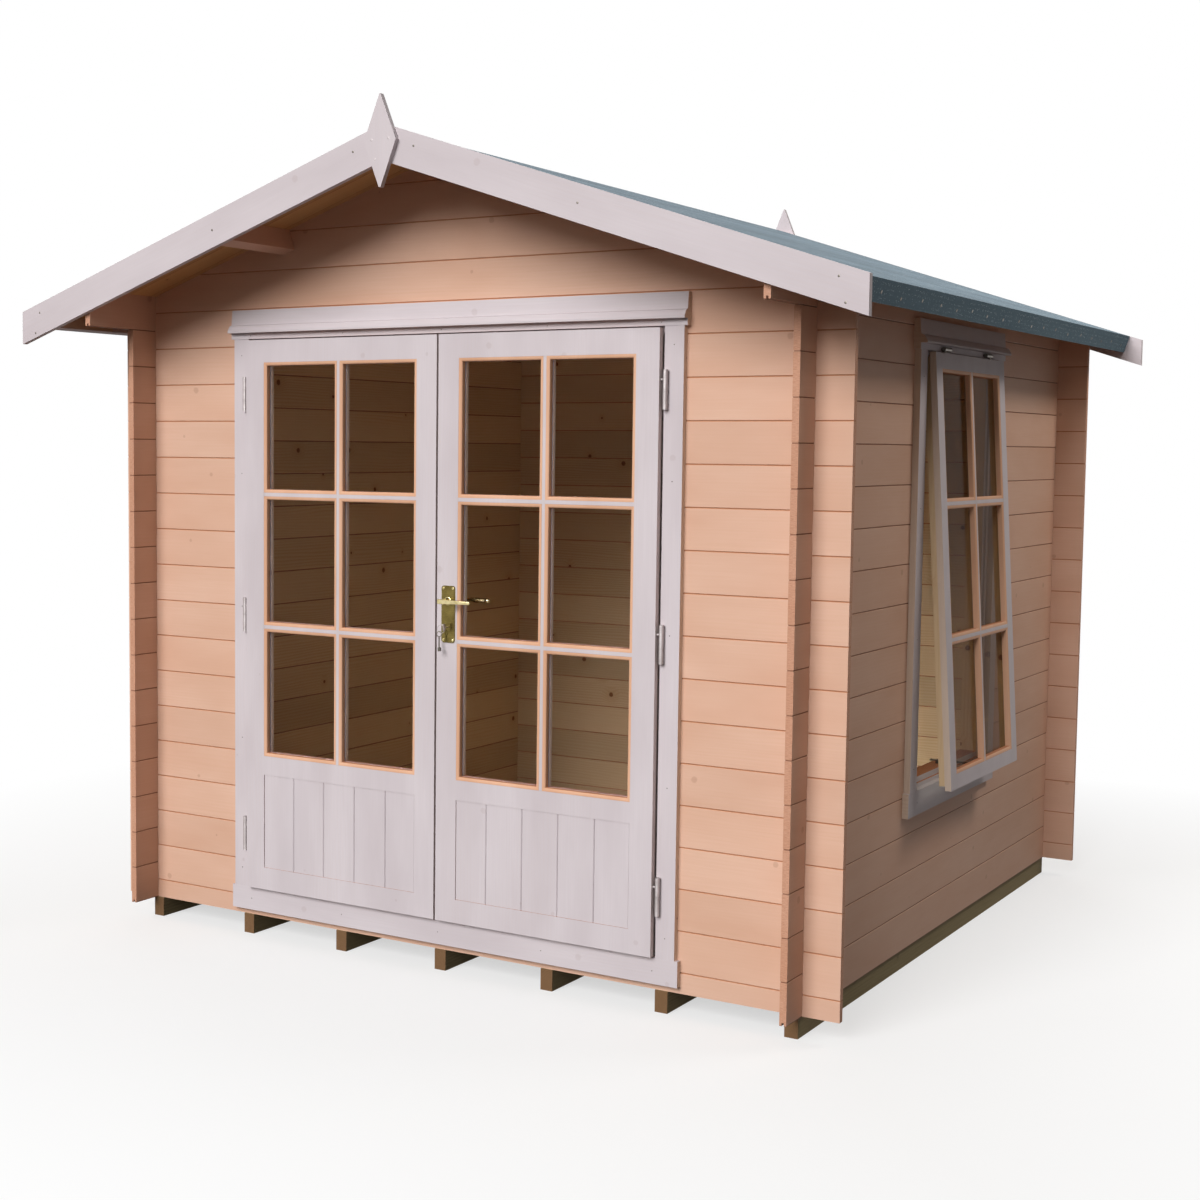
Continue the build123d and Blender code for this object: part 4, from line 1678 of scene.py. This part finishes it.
    def spare_key(self, joiner: Joiner) -> None:
        """Makes the second key, which hangs from the ring.

        Args:
            joiner: who fits it.
        """
        x = self.x - 0.0175
        y = LEAF_FRONT - self.plate_thick - 0.0185
        top = self.lock_z - 0.0150
        eye = turn_ring("eye", (x, y, top - 0.0050), 0.0072, 0.0013, 28, 0.5)
        shank = turn_bar("shank", (x, y, top - 0.0335), 0.0019, 0.042, Axis.Z, 14)
        bit = cut_board("bit", (x - 0.0008, y - 0.0065, top - 0.0540),
                        (x + 0.0068, y + 0.0010, top - 0.0430), 0.0004)
        spare = join_pieces([eye, shank, bit], "spare_key")
        smooth(spare)
        joiner.fit(spare, "right_leaf", "dark_steel")

    def build(self, joiner: Joiner) -> None:
        """Makes and fits the whole set.

        Args:
            joiner: who fits it.
        """
        self.levers(joiner)
        self.plate_trim(joiner)
        self.lock_key(joiner)
        self.spare_key(joiner)


@dataclass
class CabinShell:
    """The CAD nodes that stay, each with its finish."""

    finishes: dict[str, tuple[str, ...]] = field(default_factory=lambda: {
        "front_logs": ("front_sill_log", "front_wall_left", "front_wall_right", "front_gable",
                       "rear_wall"),
        "side_logs": ("left_wall", "right_wall_lower", "right_wall_front", "right_wall_rear",
                      "right_wall_upper", "eaves_logs"),
        "purlin_beams": ("purlins",),
        "barge_paint": ("front_bargeboards", "rear_bargeboards"),
        "level_paint": ("eaves_boards", "head_crowns", "sill_trims"),
        "upright_paint": ("architraves",),
        "finial_paint": ("finials",),
        "leaf_paint": ("left_leaf_frame", "right_leaf_frame"),
        "sash_paint": ("window_sash",),
        "lining_pine": ("door_frame", "window_frame"),
        "treated_timber": ("floor_bearers",),
        "roofing_felt": ("roof_felt",),
        "plated_steel": ("door_frame_hinges", "left_leaf_hinges", "right_leaf_hinges"),
        "dark_steel": ("window_hinges", "window_stay"),
        # the lock plates take the darker brass, painted shade in their reflections
        "shaded_plate_brass": ("lock_plates",),
        "pane": ("left_leaf_glass", "right_leaf_glass"),
        # the window takes the darker glass, painted shade on the view inside
        "shaded_window_pane": ("window_glass",),
    })

    def dress(self, shop: Paintshop, nodes: dict[str, bpy.types.Object]) -> None:
        """Gives every node that stays its finish.

        Args:
            shop: where the finishes are.
            nodes: the CAD nodes by name.
        """
        for finish, names in self.finishes.items():
            for name in names:
                shop.coat(nodes[name], finish)
                LOG.info("%s dressed in %s", name, finish)


# camera, light and ground


@dataclass
class Studio:
    """Camera at the photograph's angle, a plain pale floor and soft light."""

    eye: Point = (2.90095, -5.4622, 1.52522)
    yaw: float = 0.5691
    pitch: float = 0.0749
    roll: float = 0.0084
    focal: float = 1813.9
    centre: tuple[float, float] = (480.9, 583.8)
    image: float = 1200.0
    sensor: float = 36.0
    ambient: float = 0.30
    sky: Colour = (1.0, 0.95, 0.87)
    white: Colour = (1.0, 1.0, 1.0)
    dim_side: Point = (0.85, 0.52, 0.0)
    key: float = 3.2
    key_towards: Point = (0.06, 0.88, -0.47)
    back_fill: float = 1.0
    back_towards: Point = (0.45, -0.80, -0.40)
    panel: float = 58.0
    panel_colour: Colour = (1.0, 0.95, 0.88)
    panel_size: tuple[float, float] = (1.6, 0.8)
    panel_place: Point = (3.4, 1.2, 4.0)
    panel_towards: Point = (-2.3, -0.6, -2.8)
    floor_size: float = 60.0

    def camera(self) -> None:
        """Sets the camera up."""
        ahead = Vector((-math.sin(self.yaw) * math.cos(self.pitch),
                        math.cos(self.yaw) * math.cos(self.pitch), -math.sin(self.pitch)))
        level = Vector((math.cos(self.yaw), math.sin(self.yaw), 0))
        above = level.cross(ahead)
        right = level * math.cos(self.roll) + above * math.sin(self.roll)
        up = above * math.cos(self.roll) - level * math.sin(self.roll)
        lens = bpy.data.cameras.new("camera")
        lens.sensor_width = self.sensor
        lens.lens = self.focal / self.image * self.sensor
        lens.shift_x = (self.image / 2 - self.centre[0]) / self.image
        lens.shift_y = (self.centre[1] - self.image / 2) / self.image
        lens.clip_end = 200
        camera = bpy.data.objects.new("camera", lens)
        turn = Matrix((right, up, -ahead)).transposed().to_4x4()
        camera.matrix_world = Matrix.Translation(self.eye) @ turn
        bpy.context.collection.objects.link(camera)
        bpy.context.scene.camera = camera

    def hang(self, light: bpy.types.Light, towards: Point) -> bpy.types.Object:
        """Hangs a light so that it shines along a direction.

        Args:
            light: the light.
            towards: the direction.

        Returns:
            The lamp, at the origin.
        """
        lamp = bpy.data.objects.new(light.name, light)
        lamp.rotation_mode = "QUATERNION"
        lamp.rotation_quaternion = Vector(towards).to_track_quat("-Z", "Y")
        bpy.context.collection.objects.link(lamp)
        return lamp

    def far_lamp(self, name: str, power: float, towards: Point, spread: float) -> None:
        """Hangs a broad soft lamp far away.

        Args:
            name: what it is called.
            power: its strength.
            towards: the direction of its light.
            spread: how wide it looks from the cabin, in degrees.
        """
        light = bpy.data.lights.new(name, "SUN")
        light.energy = power
        light.angle = math.radians(spread)
        self.hang(light, towards)

    def side_panel(self) -> None:
        """Hangs a soft panel lamp beside the cabin, whose light fades towards the ground."""
        light = bpy.data.lights.new("side_panel", "AREA")
        light.energy = self.panel
        light.color = self.panel_colour
        light.shape = "RECTANGLE"
        light.size, light.size_y = self.panel_size
        lamp = self.hang(light, self.panel_towards)
        lamp.location = self.panel_place
        lamp.visible_camera = False
        lamp.visible_glossy = False
        lamp.visible_transmission = False

    @staticmethod
    def past_the_cabin(w: Wiring) -> bpy.types.NodeSocket:
        """Finds the rays that see the plain white surround.

        Args:
            w: the wiring of what they see.

        Returns:
            1 for such a ray and 0 for any other.
        """
        path = w.node("LightPath").outputs
        seen = path[Glow.CAMERA.value]
        for glow in (Glow.MIRRORED, Glow.THROUGH_GLASS):
            seen = w.maths("MAXIMUM", seen, path[glow.value])
        return seen

    def surround(self) -> None:
        """Soft ambient light, with plain white where a ray sees past the object."""
        world = bpy.data.worlds.new("surround")
        bpy.context.scene.world = world
        world.use_nodes = True
        world.node_tree.nodes.clear()
        w = Wiring(world.node_tree)
        heading = w.dot(w.node("TexCoord").outputs["Generated"], self.dim_side)
        strength = w.times(w.scale(heading, -0.1, 0.6, 1.14, 0.1), self.ambient)
        soft = w.node("Background", {"Color": self.sky, "Strength": strength})
        plain = w.node("Background", {"Color": self.white, "Strength": 1.0})
        both = w.node("MixShader", {0: self.past_the_cabin(w), 1: soft.outputs[0],
                                    2: plain.outputs[0]})
        w.node("OutputWorld", {"Surface": both.outputs[0]})

    def floor(self) -> None:
        """A wide pale floor that keeps the shadow and fades into the white surround; to bounced
        light it is dark near the cabin, which paints shade on the walls' lower parts.
        """
        clear_choice()
        bpy.ops.mesh.primitive_plane_add(size=self.floor_size, location=(0, 0, 0))
        ground = bpy.context.object
        ground.name = "studio_floor"
        material, w = new_material("studio_floor")
        place = w.node("TexCoord").outputs["Object"]
        parts = w.split(place)
        far = w.maths("MAXIMUM", w.maths("ABSOLUTE", parts[0]), w.maths("ABSOLUTE", parts[1]))
        pale = w.blend(w.noise(place, 2.0, 2.0), tone(236, 236, 236), tone(240, 240, 240))
        # painted shade: near the cabin the floor returns little light, darkening the walls low
        # down
        dull = w.blend(w.scale(far, 1.2, 3.0), tone(26, 24, 24), tone(84, 78, 74))
        bounced = w.node("LightPath").outputs["Is Diffuse Ray"]
        matt = w.node("BsdfDiffuse", {"Color": w.blend(bounced, pale, dull)})
        glow = w.node("Emission", {"Color": self.white, "Strength": 1.0})
        fade = w.times(w.scale(far, 1.3, 3.2, 0.6, 1.0), self.past_the_cabin(w))
        both = w.node("MixShader", {0: fade, 1: matt.outputs[0], 2: glow.outputs[0]})
        w.node("OutputMaterial", {"Surface": both.outputs[0]})
        ground.data.materials.append(material)

    def build(self) -> None:
        """Sets up the whole studio."""
        self.camera()
        self.surround()
        self.floor()
        self.far_lamp("key", self.key, self.key_towards, 36)
        self.far_lamp("back_fill", self.back_fill, self.back_towards, 60)
        self.side_panel()
        bpy.context.scene.view_settings.view_transform = "Standard"


def main() -> None:
    """Loads the cabin, dresses it and sets the studio round it."""
    logging.basicConfig(level=logging.INFO, format="%(message)s")
    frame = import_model()
    clear_choice()
    shop = Paintshop(Effects())
    shop.open()
    CabinShell().dress(shop, frame["nodes"])
    joiner = Joiner(shop)
    Glazing("left_leaf", "left_leaf", -LEAF_FAR, -LEAF_NEAR, *LEAF_LIGHT).build(joiner)
    Glazing("right_leaf", "right_leaf", LEAF_NEAR, LEAF_FAR, *LEAF_LIGHT).build(joiner)
    Glazing("window", "cabin", -WINDOW_HALF, WINDOW_HALF, *WINDOW_LIGHT, placing=sash_turn(),
            inner_rings=False, inner_depth=0.003).build(joiner)
    LeafPanel("left_panel_boards", "left_leaf", "left_leaf_panel", -LEAF_FAR, -LEAF_NEAR,
              (-0.5200, -0.4056, -0.2910, -0.1775)).build(joiner)
    LeafPanel("right_panel_boards", "right_leaf", "right_leaf_panel", LEAF_NEAR, LEAF_FAR,
              (0.1747, 0.2938, 0.4100, 0.5260)).build(joiner)
    Boarding().build(joiner)
    Fixings().build(joiner)
    LeverSet().build(joiner)
    Studio().build()


if __name__ == "__main__":
    main()
